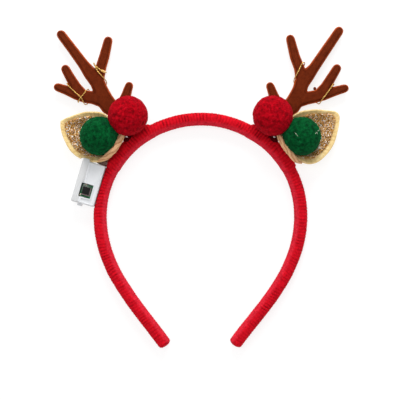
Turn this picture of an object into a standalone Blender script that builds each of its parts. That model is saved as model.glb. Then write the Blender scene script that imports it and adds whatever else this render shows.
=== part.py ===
"""Reindeer antler headband: a padded red hoop with flocked antlers, felt ears, pompons and a light box.

Metres, +Z towards the viewer. The headband lies on its back on z = 0. The origin is the middle of the crown's
arc, which is the middle of the head that wears it, and +Y points up to the antlers.
"""
import math
import random

import bmesh
import bpy
from mathutils import Vector
from mathutils.bvhtree import BVHTree

# Clearance between pieces, and the angle at which a corner is drawn sharp
GAP = 0.0003
SHARP_ANGLE = math.radians(50.0)

# Band: a crown arc, a side arc on each side and a straight leg, covered in ribbed yarn
CROWN_RADIUS = 0.06475
CROWN_ANGLE = math.radians(78.5)
SIDE_RADIUS = 0.0683
SIDE_END_ANGLE = math.radians(125.0)
LEG_LENGTH = 0.0519
BAND_WIDTH = 0.0080
BAND_DEPTH = 0.0100
RIB_PITCH = 0.0021
RIB_HEIGHT = 0.00022
BAND_SIDES = 8
TIP_ROUNDING = 0.0026
# Each end closes in steps, like fabric drawn over a rounded end: share of the rounding and share of the section.
TIP_STEPS = ((0.42, 0.94), (0.80, 0.76), (1.00, 0.45))
SHOULDER_START = math.radians(28.0)
SHOULDER_END = math.radians(60.5)
SHOULDER_FADE = math.radians(1.5)
SHOULDER_EXTRA = 0.0003

# Antlers: flat, with rounded edges. The table of tines gives places as shares of ANTLER_SIZE and widths as
# shares of TINE_WIDTH.
ANTLER_ANGLE = math.radians(36.3)
ANTLER_SIZE = 0.0645
TINE_WIDTH = 0.0055
ANTLER_THICKNESS = 0.0046
EDGE_ROUNDING = 0.0013
EDGE_SHARE = 0.6
FLANK_SHARE = 0.35
TINE_TIP_STEPS = (0.55, 0.88)
TIP_THINNING = 0.65

# Pompons
RED_ANGLE = math.radians(35.0)
RED_RADIUS = 0.0127
RED_OVERHANG = 0.0014
GREEN_ANGLE = math.radians(50.7)
GREEN_RADIUS = 0.0124
GREEN_PRESSED_SIDE = 0.0015
TUFT_HEIGHT = 0.0005
PRESSED_BACK = 0.0022
PRESS_CLEARANCE = 0.0007
PRESS_STEP = 0.985
RED_TUFTS = 11
GREEN_TUFTS = 31

# Ears: a felt cup round the green pompon. The tables of rims give reach and rise as shares of these lengths.
EAR_LENGTH = 0.0145
EAR_RISE = 0.0150
EAR_WALL = 0.0015
EAR_FLOOR = 0.0020
ROLL_WIDTH = 0.0028
ROLL_START = 0.75
LINING_WALL = 0.0006
EAR_HEM = 0.0023
EAR_LEVELS = (0.35, 0.66, 0.87, 1.0)
LINING_LEVELS = (0.35, 0.66, 1.0)
WIDEST_SEGMENT = 16.0

# Battery box, its lid, board and button. The box presses into the band's padding.
BOX_ANGLE = math.radians(73.5)
BOX_SLIDE = 0.0014
BOX_PRESS = 0.0012
BOX_PRESS_SPAN = math.radians(20.0)
BOX_WIDTH = 0.0153
BOX_LENGTH = 0.0274
BOX_DEPTH = 0.0120
BOX_ROUNDING = 0.0012
BOX_EAR_CLEARANCE = 0.0012
LID_WIDTH = 0.0045
LID_PROUD = 0.0004
LID_OVERHANG = 0.0008
CATCH_WIDTH = 0.0032
CATCH_LENGTH = 0.0017
CATCH_HEIGHTS = (0.0030, 0.0085)
CATCH_INSET = 0.0004
CATCH_ROUNDING = 0.0005
WINDOW_WIDTH = 0.0078
WINDOW_LENGTH = 0.0090
WINDOW_DEPTH = 0.0044
WINDOW_DROP = 0.0049
BOARD_THICKNESS = 0.0010
BOARD_ROUNDING = 0.0001
SWITCH_WIDTH = 0.0056
SWITCH_HEIGHT = 0.0010
SWITCH_ROUNDING = 0.0002
BUTTON_WIDTH = 0.0047
BUTTON_HEIGHT = 0.0012
BUTTON_TRAVEL = 0.0003
BUTTON_ROUNDING = 0.0003

# Light wire
WIRE_DIAMETER = 0.0008
WIRE_STEP = 0.0018
WIRE_SLACK = 0.0002
WIRE_EASINGS = 6

# Glue between the ear, the box and the band
GLUE_RADIUS = 0.0016

LEFT = -1
RIGHT = 1
SIDE_NAMES = {LEFT: "left", RIGHT: "right"}

# Tines of the antlers. Each row: out and up from the foot on the left antler, out and up on the right antler,
# width. The first row of a branch lies inside the palm that it grows from.
MAIN_TINE = (
    (0.000, 0.000, 0.000, 0.000, 0.80),
    (0.112, 0.112, 0.112, 0.112, 1.28),
    (0.176, 0.176, 0.176, 0.176, 1.44),
    (0.229, 0.222, 0.229, 0.222, 1.74),
    (0.273, 0.257, 0.273, 0.257, 1.98),
    (0.321, 0.323, 0.318, 0.323, 1.95),
    (0.363, 0.425, 0.358, 0.425, 1.66),
    (0.398, 0.508, 0.376, 0.490, 1.70),
    (0.470, 0.594, 0.440, 0.570, 1.50),
    (0.533, 0.678, 0.500, 0.645, 1.18),
    (0.641, 0.824, 0.658, 0.878, 1.07),
    (0.756, 0.975, 0.748, 1.010, 1.00),
)
SECOND_TINE = (
    (0.392, 0.500, 0.378, 0.490, 1.36),
    (0.356, 0.653, 0.353, 0.638, 1.18),
    (0.323, 0.762, 0.308, 0.754, 1.14),
    (0.286, 0.913, 0.263, 0.931, 0.97),
)
LOWER_TINE = (
    (0.325, 0.310, 0.322, 0.310, 1.60),
    (0.431, 0.343, 0.428, 0.339, 1.44),
    (0.513, 0.355, 0.511, 0.356, 1.42),
    (0.606, 0.383, 0.598, 0.376, 1.30),
    (0.706, 0.420, 0.708, 0.409, 1.03),
    (0.790, 0.449, 0.806, 0.437, 0.90),
)
UPPER_TINE = (
    (0.526, 0.353, 0.528, 0.353, 1.30),
    (0.606, 0.448, 0.613, 0.448, 1.18),
    (0.664, 0.543, 0.676, 0.551, 1.06),
    (0.713, 0.631, 0.728, 0.637, 0.96),
)
INNER_TINE = (
    (0.186, 0.193, 0.186, 0.193, 1.40),
    (0.111, 0.353, 0.100, 0.353, 1.12),
    (0.076, 0.463, 0.061, 0.460, 0.90),
)
# Each branch with its thickness as a share of ANTLER_THICKNESS: the palm is the thickest.
BRANCHES = (
    (MAIN_TINE, 1.00),
    (SECOND_TINE, 0.97),
    (LOWER_TINE, 0.94),
    (UPPER_TINE, 0.91),
    (INNER_TINE, 0.88),
)

# Rims of the ears, seen from the green pompon's middle. Each row: degrees from straight outward, turning up;
# how far the rim stands out from the pompon; how high it rises; how steep the cup is there; share of the roll.
LEFT_RIM = (
    (18.0, 0.97, 0.42, 2.0, 0.0),
    (6.0, 0.87, 0.44, 2.0, 0.0),
    (-8.0, 0.71, 0.46, 2.0, 0.0),
    (-26.0, 0.56, 0.48, 2.1, 0.0),
    (-45.0, 0.44, 0.50, 2.3, 0.0),
    (-66.0, 0.36, 0.55, 2.6, 0.0),
    (-87.0, 0.30, 0.66, 3.2, 0.15),
    (-103.0, 0.27, 0.82, 3.8, 0.60),
    (-118.0, 0.22, 0.96, 4.4, 1.0),
    (-138.0, 0.17, 1.03, 5.0, 1.0),
    (-152.0, 0.17, 1.03, 5.0, 1.0),
    (-167.0, 0.18, 1.00, 5.0, 1.0),
    (-180.0, 0.20, 0.86, 4.6, 0.7),
    (-206.0, 0.16, 0.38, 3.6, 0.0),
    (-228.0, 0.11, 0.32, 3.4, 0.0),
    (-247.0, 0.09, 0.36, 3.0, 0.0),
    (-269.0, 0.18, 0.42, 2.6, 0.0),
    (-300.0, 0.40, 0.43, 2.2, 0.0),
    (-322.0, 0.65, 0.42, 2.0, 0.0),
    (-336.0, 0.93, 0.42, 2.0, 0.0),
)
RIGHT_RIM = (
    (29.0, 1.11, 0.42, 2.0, 0.0),
    (20.0, 0.98, 0.43, 2.0, 0.0),
    (6.0, 0.76, 0.45, 2.0, 0.0),
    (-12.0, 0.61, 0.47, 2.1, 0.0),
    (-33.0, 0.49, 0.49, 2.3, 0.0),
    (-56.0, 0.44, 0.52, 2.5, 0.0),
    (-74.0, 0.39, 0.57, 2.8, 0.1),
    (-92.0, 0.30, 0.70, 3.4, 0.35),
    (-108.0, 0.27, 0.86, 4.0, 0.75),
    (-126.0, 0.18, 0.98, 4.6, 1.0),
    (-151.0, 0.16, 1.03, 5.0, 1.0),
    (-170.0, 0.19, 1.00, 5.0, 1.0),
    (-182.0, 0.20, 0.86, 4.6, 0.7),
    (-206.0, 0.16, 0.38, 3.6, 0.0),
    (-228.0, 0.12, 0.32, 3.4, 0.0),
    (-247.0, 0.13, 0.36, 3.0, 0.0),
    (-272.0, 0.26, 0.42, 2.6, 0.0),
    (-298.0, 0.52, 0.43, 2.2, 0.0),
    (-317.0, 0.86, 0.42, 2.0, 0.0),
    (-324.0, 1.06, 0.42, 2.0, 0.0),
)
RIMS = {LEFT: LEFT_RIM, RIGHT: RIGHT_RIM}

# Route of the light wire on each antler, chosen by hand: out and up from the foot as shares of ANTLER_SIZE, and
# the level, which is 1 on the front, -1 on the back, 0 at an edge and 2 where it passes over itself.
LEFT_ROUTE = (
    (0.060, 0.080, -1),
    (0.220, 0.240, -1),
    (0.330, 0.400, -1),
    (0.375, 0.560, -1),
    (0.412, 0.668, 0),
    (0.375, 0.628, 1),
    (0.330, 0.603, 1),
    (0.304, 0.596, 0),
    (0.350, 0.606, -1),
    (0.400, 0.640, -1.8),
    (0.430, 0.676, -1),
    (0.425, 0.690, 0.5),
    (0.398, 0.620, 1),
    (0.350, 0.560, 1),
    (0.302, 0.500, 0),
    (0.345, 0.440, -1),
    (0.420, 0.380, -1),
    (0.480, 0.300, -1),
    (0.520, 0.276, 0),
    (0.550, 0.340, 1.7),
    (0.610, 0.395, 1),
    (0.680, 0.462, 1),
    (0.696, 0.492, 0),
    (0.650, 0.450, -1),
    (0.600, 0.360, -1),
    (0.585, 0.296, 0),
    (0.568, 0.332, 1),
    (0.528, 0.378, 1),
    (0.486, 0.432, 0),
    (0.470, 0.380, -1),
)
RIGHT_ROUTE = (
    (0.060, 0.080, -1),
    (0.220, 0.240, -1),
    (0.320, 0.400, -1),
    (0.360, 0.540, -1),
    (0.395, 0.660, -0.4),
    (0.408, 0.694, 0.2),
    (0.382, 0.692, 0.8),
    (0.352, 0.630, 1),
    (0.325, 0.575, 1),
    (0.300, 0.520, 0),
    (0.350, 0.440, -1),
    (0.430, 0.380, -1),
    (0.500, 0.330, -1),
    (0.548, 0.280, 0),
    (0.580, 0.330, 1),
    (0.625, 0.385, 1),
    (0.676, 0.460, 1),
    (0.690, 0.486, 0),
    (0.630, 0.420, -1),
)
ROUTES = {LEFT: LEFT_ROUTE, RIGHT: RIGHT_ROUTE}

# Places worked out from the sizes above
BAND_MIDDLE = BAND_DEPTH / 2
BAND_OUTSIDE = CROWN_RADIUS + BAND_WIDTH / 2
SHOULDER_OUTSIDE = BAND_OUTSIDE + SHOULDER_EXTRA
ANTLER_FRONT = BAND_MIDDLE + ANTLER_THICKNESS / 2
RED_DISTANCE = SHOULDER_OUTSIDE + RED_RADIUS - RED_OVERHANG
RED_HEIGHT = ANTLER_FRONT + GAP + RED_RADIUS - PRESSED_BACK
EAR_STACK = EAR_WALL + LINING_WALL + 2 * GAP
GREEN_DISTANCE = SHOULDER_OUTSIDE + 2 * GAP + ROLL_WIDTH + GREEN_RADIUS - GREEN_PRESSED_SIDE
GREEN_HEIGHT = EAR_FLOOR + EAR_STACK + GREEN_RADIUS - PRESSED_BACK
PALM_FOOT = SHOULDER_OUTSIDE + GAP


def polar(side, angle, distance, height):
    """The point at an angle from the crown's top, on the photo's left or right side."""
    return Vector((side * distance * math.sin(angle), distance * math.cos(angle), height))


def red_middle(side):
    return polar(side, RED_ANGLE, RED_DISTANCE, RED_HEIGHT)


def green_middle(side):
    return polar(side, GREEN_ANGLE, GREEN_DISTANCE, GREEN_HEIGHT)


def clear_scene():
    for old in list(bpy.data.objects):
        bpy.data.objects.remove(old, do_unlink=True)


def material(name, colour, roughness, metallic=0.0):
    made = bpy.data.materials.get(name)
    if made:
        return made
    made = bpy.data.materials.new(name)
    made.use_nodes = True
    shader = made.node_tree.nodes["Principled BSDF"]
    shader.inputs["Base Color"].default_value = (*colour, 1.0)
    shader.inputs["Roughness"].default_value = roughness
    shader.inputs["Metallic"].default_value = metallic
    return made


def red_yarn():
    return material("red_yarn", (0.60, 0.010, 0.020), 0.9)


def red_felt():
    return material("red_felt", (0.52, 0.008, 0.030), 0.95)


def green_felt():
    return material("green_felt", (0.010, 0.110, 0.040), 0.95)


def brown_flock():
    return material("brown_flock", (0.160, 0.040, 0.012), 0.9)


def gold_felt():
    return material("gold_felt", (0.640, 0.480, 0.220), 0.85)


def gold_glitter():
    return material("gold_glitter", (0.600, 0.400, 0.160), 0.35, 0.8)


def white_plastic():
    return material("white_plastic", (0.780, 0.780, 0.790), 0.35)


def green_board():
    return material("green_board", (0.010, 0.120, 0.045), 0.4)


def grey_metal():
    return material("grey_metal", (0.450, 0.440, 0.430), 0.4, 0.6)


def black_plastic():
    return material("black_plastic", (0.020, 0.020, 0.020), 0.45)


def gold_wire():
    return material("gold_wire", (0.700, 0.480, 0.180), 0.35, 0.9)


def clear_glue():
    return material("clear_glue", (0.420, 0.350, 0.300), 0.3)


def make_object(name, bm, finish):
    """Turns a bmesh into a named object with its material, shaded smooth with sharp corners kept."""
    bmesh.ops.recalc_face_normals(bm, faces=bm.faces)
    mesh = bpy.data.meshes.new(name)
    bm.to_mesh(mesh)
    bm.free()
    mesh.materials.append(finish)
    mesh.shade_smooth()
    mesh.set_sharp_from_angle(angle=SHARP_ANGLE)
    made = bpy.data.objects.new(name, mesh)
    bpy.context.scene.collection.objects.link(made)
    return made


def bridge(bm, first, second):
    """Joins two rings of as many vertices with quads."""
    count = len(first)
    for i in range(count):
        j = (i + 1) % count
        bm.faces.new((first[i], first[j], second[j], second[i]))


def fan(bm, ring, point):
    """Closes a ring with triangles to one point."""
    tip = bm.verts.new(point)
    count = len(ring)
    for i in range(count):
        bm.faces.new((ring[i], ring[(i + 1) % count], tip))


def smooth_step(share):
    share = max(0.0, min(1.0, share))
    return share * share * (3 - 2 * share)


# Band


def crown_length():
    return CROWN_RADIUS * CROWN_ANGLE


def side_length():
    return SIDE_RADIUS * (SIDE_END_ANGLE - CROWN_ANGLE)


def band_station(distance):
    """Centreline point, outward direction and turn at a distance along the band from the crown's middle."""
    side = 1 if distance >= 0 else -1
    run = abs(distance)
    if run <= crown_length():
        turn = run / CROWN_RADIUS
        x = CROWN_RADIUS * math.sin(turn)
        y = CROWN_RADIUS * math.cos(turn)
    else:
        past = run - crown_length()
        turn = min(CROWN_ANGLE + past / SIDE_RADIUS, SIDE_END_ANGLE)
        leg = max(0.0, past - side_length())
        x = CROWN_RADIUS * math.sin(CROWN_ANGLE) + SIDE_RADIUS * (math.sin(turn) - math.sin(CROWN_ANGLE))
        y = CROWN_RADIUS * math.cos(CROWN_ANGLE) + SIDE_RADIUS * (math.cos(turn) - math.cos(CROWN_ANGLE))
        x += leg * math.cos(turn)
        y -= leg * math.sin(turn)
    return Vector((side * x, y, BAND_MIDDLE)), Vector((side * math.sin(turn), math.cos(turn), 0)), turn


def shoulder_extra(turn):
    """How much thicker the cover is at a turn: all of SHOULDER_EXTRA between the shoulder's ends."""
    rising = smooth_step((turn - SHOULDER_START) / SHOULDER_FADE)
    falling = smooth_step((SHOULDER_END - turn) / SHOULDER_FADE)
    return SHOULDER_EXTRA * rising * falling


def pressed_by_box(distance, point, outward):
    """How far the padding may stand out at a place on the centreline: the battery box presses it flat."""
    facing = polar(LEFT, BOX_ANGLE, 1.0, 0)
    if distance > 0 or outward.dot(facing) < math.cos(BOX_PRESS_SPAN):
        return BAND_WIDTH
    return (BAND_OUTSIDE - BOX_PRESS - point.dot(facing)) / outward.dot(facing)


def band_ring(bm, distance, scale, rib):
    """One section of the band: an eight-sided oval, its corners pushed out so that its flats have the size."""
    point, outward, turn = band_station(distance)
    corner = 1 / math.cos(math.pi / BAND_SIDES)
    low = RIB_HEIGHT * (1 - rib)
    half_width = (BAND_WIDTH / 2 - low + shoulder_extra(turn)) * corner * scale
    half_depth = (BAND_DEPTH / 2 - low) * corner * scale
    pressed = pressed_by_box(distance, point, outward)
    ring = []
    for i in range(BAND_SIDES):
        angle = (i + 0.5) * 2 * math.pi / BAND_SIDES
        place = point + outward * min(half_width * math.cos(angle), pressed)
        place.z += half_depth * math.sin(angle)
        ring.append(bm.verts.new(place))
    return ring


def build_band():
    half = crown_length() + side_length() + LEG_LENGTH
    ribbed = half - TIP_ROUNDING
    ribs = round(2 * ribbed / RIB_PITCH)
    bm = bmesh.new()
    rings = []
    for share, scale in reversed(TIP_STEPS):
        rings.append(band_ring(bm, -ribbed - TIP_ROUNDING * share, scale, 0))
    for i in range(2 * ribs + 1):
        rings.append(band_ring(bm, -ribbed + i * ribbed / ribs, 1.0, i % 2))
    for share, scale in TIP_STEPS:
        rings.append(band_ring(bm, ribbed + TIP_ROUNDING * share, scale, 0))
    for first, second in zip(rings, rings[1:]):
        bridge(bm, first, second)
    fan(bm, rings[0], band_station(-half)[0])
    fan(bm, rings[-1], band_station(half)[0])
    return make_object("band", bm, red_yarn())


# Antlers


def tine_section(half_width, half_thickness):
    """Across and up offsets of a flat section with rounded edges."""
    edge = min(EDGE_ROUNDING, EDGE_SHARE * half_width)
    flank = FLANK_SHARE * half_thickness
    quarter = ((half_width, flank), (half_width - edge, half_thickness))
    upper = quarter + tuple((-x, z) for x, z in reversed(quarter))
    return upper + tuple((-x, -z) for x, z in upper)


def tine_rows(side, table):
    """Places and half widths of a branch's sections, with two more sections that round off its tip."""
    foot = polar(side, ANTLER_ANGLE, PALM_FOOT, BAND_MIDDLE)
    rows = []
    for left_out, left_up, right_out, right_up, width in table:
        out, up = (left_out, left_up) if side == LEFT else (right_out, right_up)
        place = foot + Vector((side * out, up, 0)) * ANTLER_SIZE
        rows.append((place, width * TINE_WIDTH / 2))
    tip, half_width = rows[-1]
    ahead = (tip - rows[-2][0]).normalized()
    for share in TINE_TIP_STEPS:
        rows.append((tip + ahead * half_width * share, half_width * math.sqrt(1 - share * share)))
    rows.append((tip + ahead * half_width, 0.0))
    return rows


def build_branch(name, side, table, thickness_share):
    rows = tine_rows(side, table)
    half_thickness = ANTLER_THICKNESS * thickness_share / 2
    bm = bmesh.new()
    rings = []
    full_width = rows[-4][1]
    for i, (place, half_width) in enumerate(rows[:-1]):
        before = rows[max(i - 1, 0)][0]
        after = rows[i + 1][0]
        ahead = (after - before).normalized()
        across = Vector((-ahead.y, ahead.x, 0))
        depth = half_thickness
        if i > len(rows) - 4:
            depth *= 1 - TIP_THINNING * (1 - half_width / full_width)
        ring = [
            bm.verts.new(place + across * x + Vector((0, 0, z)))
            for x, z in tine_section(half_width, depth)
        ]
        rings.append(ring)
    for first, second in zip(rings, rings[1:]):
        bridge(bm, first, second)
    bm.faces.new(rings[0])
    fan(bm, rings[-1], rows[-1][0])
    return make_object(name, bm, brown_flock())


def build_antler(side):
    """The palm with its main tine, and the other branches united with it."""
    name = "antler_" + SIDE_NAMES[side]
    antler = build_branch(name, side, *BRANCHES[0])
    for number, (table, thickness_share) in enumerate(BRANCHES[1:], start=2):
        branch = build_branch(f"{name}_branch_{number}", side, table, thickness_share)
        branch.hide_render = True
        branch.display_type = "WIRE"
        union = antler.modifiers.new(f"branch_{number}", "BOOLEAN")
        union.operation = "UNION"
        union.object = branch
    return antler


# Ears


def rim_at(side, degrees):
    """The row of the rim's table at any direction, read smoothly between its rows."""
    rows = RIMS[side]
    turn = (rows[0][0] - degrees) % 360
    turns = [(rows[0][0] - row[0]) % 360 for row in rows]
    count = len(rows)
    index = max(i for i in range(count) if turns[i] <= turn)
    start = turns[index]
    end = turns[index + 1] if index + 1 < count else 360
    share = smooth_step((turn - start) / (end - start)) * 0.5 + 0.5 * (turn - start) / (end - start)
    following = rows[(index + 1) % count]
    return [a + (b - a) * share for a, b in zip(rows[index][1:], following[1:])]


def wall_at(rim, level):
    """The felt's thickness: it is folded into a roll near the rim on the band's side."""
    rolled = smooth_step((level - ROLL_START) / (1 - ROLL_START))
    return EAR_WALL + (ROLL_WIDTH - EAR_WALL) * rim[3] * rolled


def ear_direction(side, degrees):
    """Unit direction in the picture plane, seen from the green pompon, 0 pointing straight outward."""
    angle = math.radians(degrees)
    return Vector((side * math.cos(angle), math.sin(angle), 0))


def clear_of_band(place):
    """Moves a place outward until it clears the band's oval by the gap."""
    half_depth = BAND_DEPTH / 2 + GAP
    height = (place.z - BAND_MIDDLE) / half_depth
    if abs(height) >= 1:
        return place
    corner = 1 / math.cos(math.pi / BAND_SIDES)
    half_width = SHOULDER_OUTSIDE - CROWN_RADIUS + GAP
    needed = CROWN_RADIUS + min(half_width, half_width * corner * math.sqrt(1 - height * height))
    distance = math.hypot(place.x, place.y)
    if distance < needed:
        place.x *= needed / distance
        place.y *= needed / distance
    return place


def below_red(side, place, stack):
    """Lowers a place until a stack of layers on it clears the red pompon."""
    middle = red_middle(side)
    reach = RED_RADIUS + GAP + stack
    flat = math.hypot(place.x - middle.x, place.y - middle.y)
    if flat < reach:
        place.z = min(place.z, middle.z - math.sqrt(reach * reach - flat * flat))
    return place


def box_axes():
    """Middle of the battery box's back, its direction along and its direction across, away from the band."""
    outward = polar(LEFT, BOX_ANGLE, 1.0, 0)
    along = Vector((-outward.y * LEFT, outward.x * LEFT, 0))
    if along.y < 0:
        along = -along
    middle = outward * (BAND_OUTSIDE - BOX_PRESS + GAP + BOX_WIDTH / 2) + along * BOX_SLIDE
    return middle, along, outward


def above_box(side, place):
    """Keeps the left ear above the battery box's upper end."""
    if side == RIGHT:
        return place
    middle, along, outward = box_axes()
    offset = place - middle
    end = BOX_LENGTH / 2 + LID_OVERHANG + GAP
    height = offset.x * along.x + offset.y * along.y
    across = offset.x * outward.x + offset.y * outward.y
    if height < end and abs(across) < BOX_WIDTH / 2 + BOX_EAR_CLEARANCE:
        place += along * (end - height)
    return place


def ear_section_place(side, degrees, level, layer):
    """A place of the ear at one of its section levels, 0 in the cup's middle and 1 at the rim.

    The layer is a height above the felt's inner face, or None for its outer face."""
    rim = rim_at(side, degrees)
    share_out, share_rise, steep, _ = rim
    reach = GREEN_RADIUS + share_out * EAR_LENGTH
    rise = share_rise * EAR_RISE
    wall = wall_at(rim, level)
    place = green_middle(side) + ear_direction(side, degrees) * reach * level
    place.z = EAR_FLOOR + rise * level**steep
    place = below_red(side, place, wall + GAP + LINING_WALL)
    place = above_box(side, place)
    place = clear_of_band(place)
    if layer is None:
        return place
    slope = rise * steep * level ** (steep - 1) / reach
    inward = ear_direction(side, degrees) * -slope + Vector((0, 0, 1))
    return place + inward.normalized() * (wall + layer)


def ear_place(side, degrees, level, layer):
    """A place at any level, on the straight line between the sections on each side of it."""
    upper = next(i for i, section in enumerate(EAR_LEVELS) if section >= level - 1e-9)
    high = EAR_LEVELS[upper]
    low = EAR_LEVELS[upper - 1] if upper else 0.0
    share = (level - low) / (high - low)
    return ear_section_place(side, degrees, low, layer).lerp(
        ear_section_place(side, degrees, high, layer), share
    )


def ear_segments(side):
    """The directions of the rim's table, with one more midway where two are far apart."""
    turns = [row[0] for row in RIMS[side]]
    segments = []
    for turn, following in zip(turns, turns[1:] + [turns[0] - 360]):
        segments.append(turn)
        if turn - following > WIDEST_SEGMENT:
            segments.append((turn + following) / 2)
    return segments


def ear_rings(bm, side, levels, layer, margin):
    """Rings of one face of the ear or its lining, from the middle outward to a margin from the rim."""
    rings = []
    for level in levels:
        ring = []
        for degrees in ear_segments(side):
            reach = GREEN_RADIUS + rim_at(side, degrees)[0] * EAR_LENGTH
            here = min(level, 1 - margin / reach)
            ring.append(bm.verts.new(ear_place(side, degrees, here, layer)))
        rings.append(ring)
    return rings


def close_cup(bm, side, outside, inside, outer_layer, inner_layer):
    """Joins the two faces of a cup at the rim and closes both at the middle."""
    for rings in (outside, inside):
        for first, second in zip(rings, rings[1:]):
            bridge(bm, first, second)
    bridge(bm, outside[-1], inside[-1])
    fan(bm, outside[0], ear_section_place(side, 0, 0, outer_layer))
    fan(bm, inside[0], ear_section_place(side, 0, 0, inner_layer))


def build_ear_shell(side):
    bm = bmesh.new()
    outside = ear_rings(bm, side, EAR_LEVELS, None, 0.0)
    inside = ear_rings(bm, side, EAR_LEVELS, 0.0, 0.0)
    close_cup(bm, side, outside, inside, None, 0.0)
    return make_object("ear_shell_" + SIDE_NAMES[side], bm, gold_felt())


def build_ear_lining(side):
    bm = bmesh.new()
    outside = ear_rings(bm, side, LINING_LEVELS, GAP, EAR_HEM)
    inside = ear_rings(bm, side, LINING_LEVELS, GAP + LINING_WALL, EAR_HEM)
    close_cup(bm, side, outside, inside, GAP, GAP + LINING_WALL)
    return make_object("ear_lining_" + SIDE_NAMES[side], bm, gold_glitter())


# Pompons


def pompon_mesh(radius, seed):
    """A ball of felt tufts: the corners of a fine ball stand out and lie back unevenly."""
    bm = bmesh.new()
    bmesh.ops.create_icosphere(bm, subdivisions=3, radius=1.0)
    uneven = random.Random(seed)
    for vertex in bm.verts:
        tuft = uneven.uniform(0.0, 1.0)
        vertex.co = vertex.co.normalized() * (radius - TUFT_HEIGHT * tuft)
    return bm


def surface_of(made):
    return BVHTree.FromObject(made, bpy.context.evaluated_depsgraph_get())


def pressed_reach(middle, direction, reach, surfaces):
    """How far a tuft stands out when the pieces around it press the soft pompon in."""
    for surface in surfaces:
        _, _, _, distance = surface.ray_cast(middle, direction)
        if distance is not None:
            reach = min(reach, distance - PRESS_CLEARANCE)
    for surface in surfaces:
        near = surface.find_nearest(middle + direction * reach)
        while near[3] < PRESS_CLEARANCE:
            reach *= PRESS_STEP
            near = surface.find_nearest(middle + direction * reach)
    return reach


def build_red_pompon(side, neighbours):
    bm = pompon_mesh(RED_RADIUS, RED_TUFTS + side)
    middle = red_middle(side)
    surfaces = [surface_of(piece) for piece in neighbours]
    for vertex in bm.verts:
        direction = vertex.co.normalized()
        vertex.co = middle + direction * pressed_reach(middle, direction, vertex.co.length, surfaces)
    return make_object("pompon_red_" + SIDE_NAMES[side], bm, red_felt())


def build_green_pompon(side, neighbours):
    """The green pompon gives way to the cup that it sits in and to the red pompon in front of it."""
    bm = pompon_mesh(GREEN_RADIUS, GREEN_TUFTS + side)
    middle = green_middle(side)
    surfaces = [surface_of(piece) for piece in neighbours]
    for vertex in bm.verts:
        direction = vertex.co.normalized()
        reach = pressed_reach(middle, direction, vertex.co.length, surfaces)
        while (middle + direction * reach - red_middle(side)).length < RED_RADIUS + GAP:
            reach *= PRESS_STEP
        vertex.co = middle + direction * reach
    return make_object("pompon_green_" + SIDE_NAMES[side], bm, green_felt())


# Battery box


def box_place(across, along_share, height):
    """A place in the battery box: across from the lid's side to the band's side, along towards the crown."""
    middle, along, outward = box_axes()
    return middle - outward * across + along * along_share + Vector((0, 0, height))


def box_block(bm, across, along, heights):
    """A plain block between pairs of limits in the battery box's own directions."""
    corners = []
    for height in heights:
        for x, y in ((0, 0), (1, 0), (1, 1), (0, 1)):
            corners.append(bm.verts.new(box_place(across[x], along[y], height)))
    for face in ((0, 1, 2, 3), (4, 5, 6, 7), (0, 1, 5, 4), (1, 2, 6, 5), (2, 3, 7, 6), (3, 0, 4, 7)):
        bm.faces.new([corners[i] for i in face])


def add_bevel(made, width, segments):
    bevel = made.modifiers.new("rounded_edges", "BEVEL")
    bevel.width = width
    bevel.segments = segments
    bevel.limit_method = "ANGLE"


def cut_window(made):
    """Cuts the window that the board shows through."""
    bm = bmesh.new()
    window_sides = (-WINDOW_WIDTH / 2, WINDOW_WIDTH / 2)
    window_ends = (-WINDOW_DROP - WINDOW_LENGTH / 2, -WINDOW_DROP + WINDOW_LENGTH / 2)
    box_block(bm, window_sides, window_ends, (BOX_DEPTH - WINDOW_DEPTH, BOX_DEPTH + 2 * LID_PROUD))
    cutter = make_object(made.name + "_window", bm, white_plastic())
    cutter.hide_render = True
    cutter.display_type = "WIRE"
    cut = made.modifiers.new("window", "BOOLEAN")
    cut.operation = "DIFFERENCE"
    cut.object = cutter


def build_battery_box():
    parting = -BOX_WIDTH / 2 + LID_WIDTH + GAP
    bm = bmesh.new()
    box_block(bm, (parting, BOX_WIDTH / 2), (-BOX_LENGTH / 2, BOX_LENGTH / 2), (0, BOX_DEPTH))
    body = make_object("battery_box", bm, white_plastic())
    add_bevel(body, BOX_ROUNDING, 2)
    cut_window(body)
    add_catch(body, parting + CATCH_INSET)
    return body


def add_catch(body, start):
    """The small catch that stands out of the box's lower end, beside the lid."""
    bm = bmesh.new()
    end = -BOX_LENGTH / 2
    box_block(bm, (start, start + CATCH_WIDTH), (end - CATCH_LENGTH, end + BOX_ROUNDING), CATCH_HEIGHTS)
    catch = make_object("battery_box_catch", bm, white_plastic())
    add_bevel(catch, CATCH_ROUNDING, 1)
    catch.hide_render = True
    catch.display_type = "WIRE"
    union = body.modifiers.new("catch", "BOOLEAN")
    union.operation = "UNION"
    union.object = catch


def build_battery_lid():
    sides = (-BOX_WIDTH / 2, -BOX_WIDTH / 2 + LID_WIDTH)
    ends = (-BOX_LENGTH / 2, BOX_LENGTH / 2 + LID_OVERHANG)
    bm = bmesh.new()
    box_block(bm, sides, ends, (0, BOX_DEPTH + LID_PROUD))
    lid = make_object("battery_lid", bm, white_plastic())
    add_bevel(lid, BOX_ROUNDING, 2)
    cut_window(lid)
    return lid


def small_block(name, half_width, half_length, heights, finish, rounding):
    """A block in the middle of the window."""
    bm = bmesh.new()
    box_block(bm, (-half_width, half_width), (-WINDOW_DROP - half_length, -WINDOW_DROP + half_length), heights)
    made = make_object(name, bm, finish)
    add_bevel(made, rounding, 1)
    return made


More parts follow.
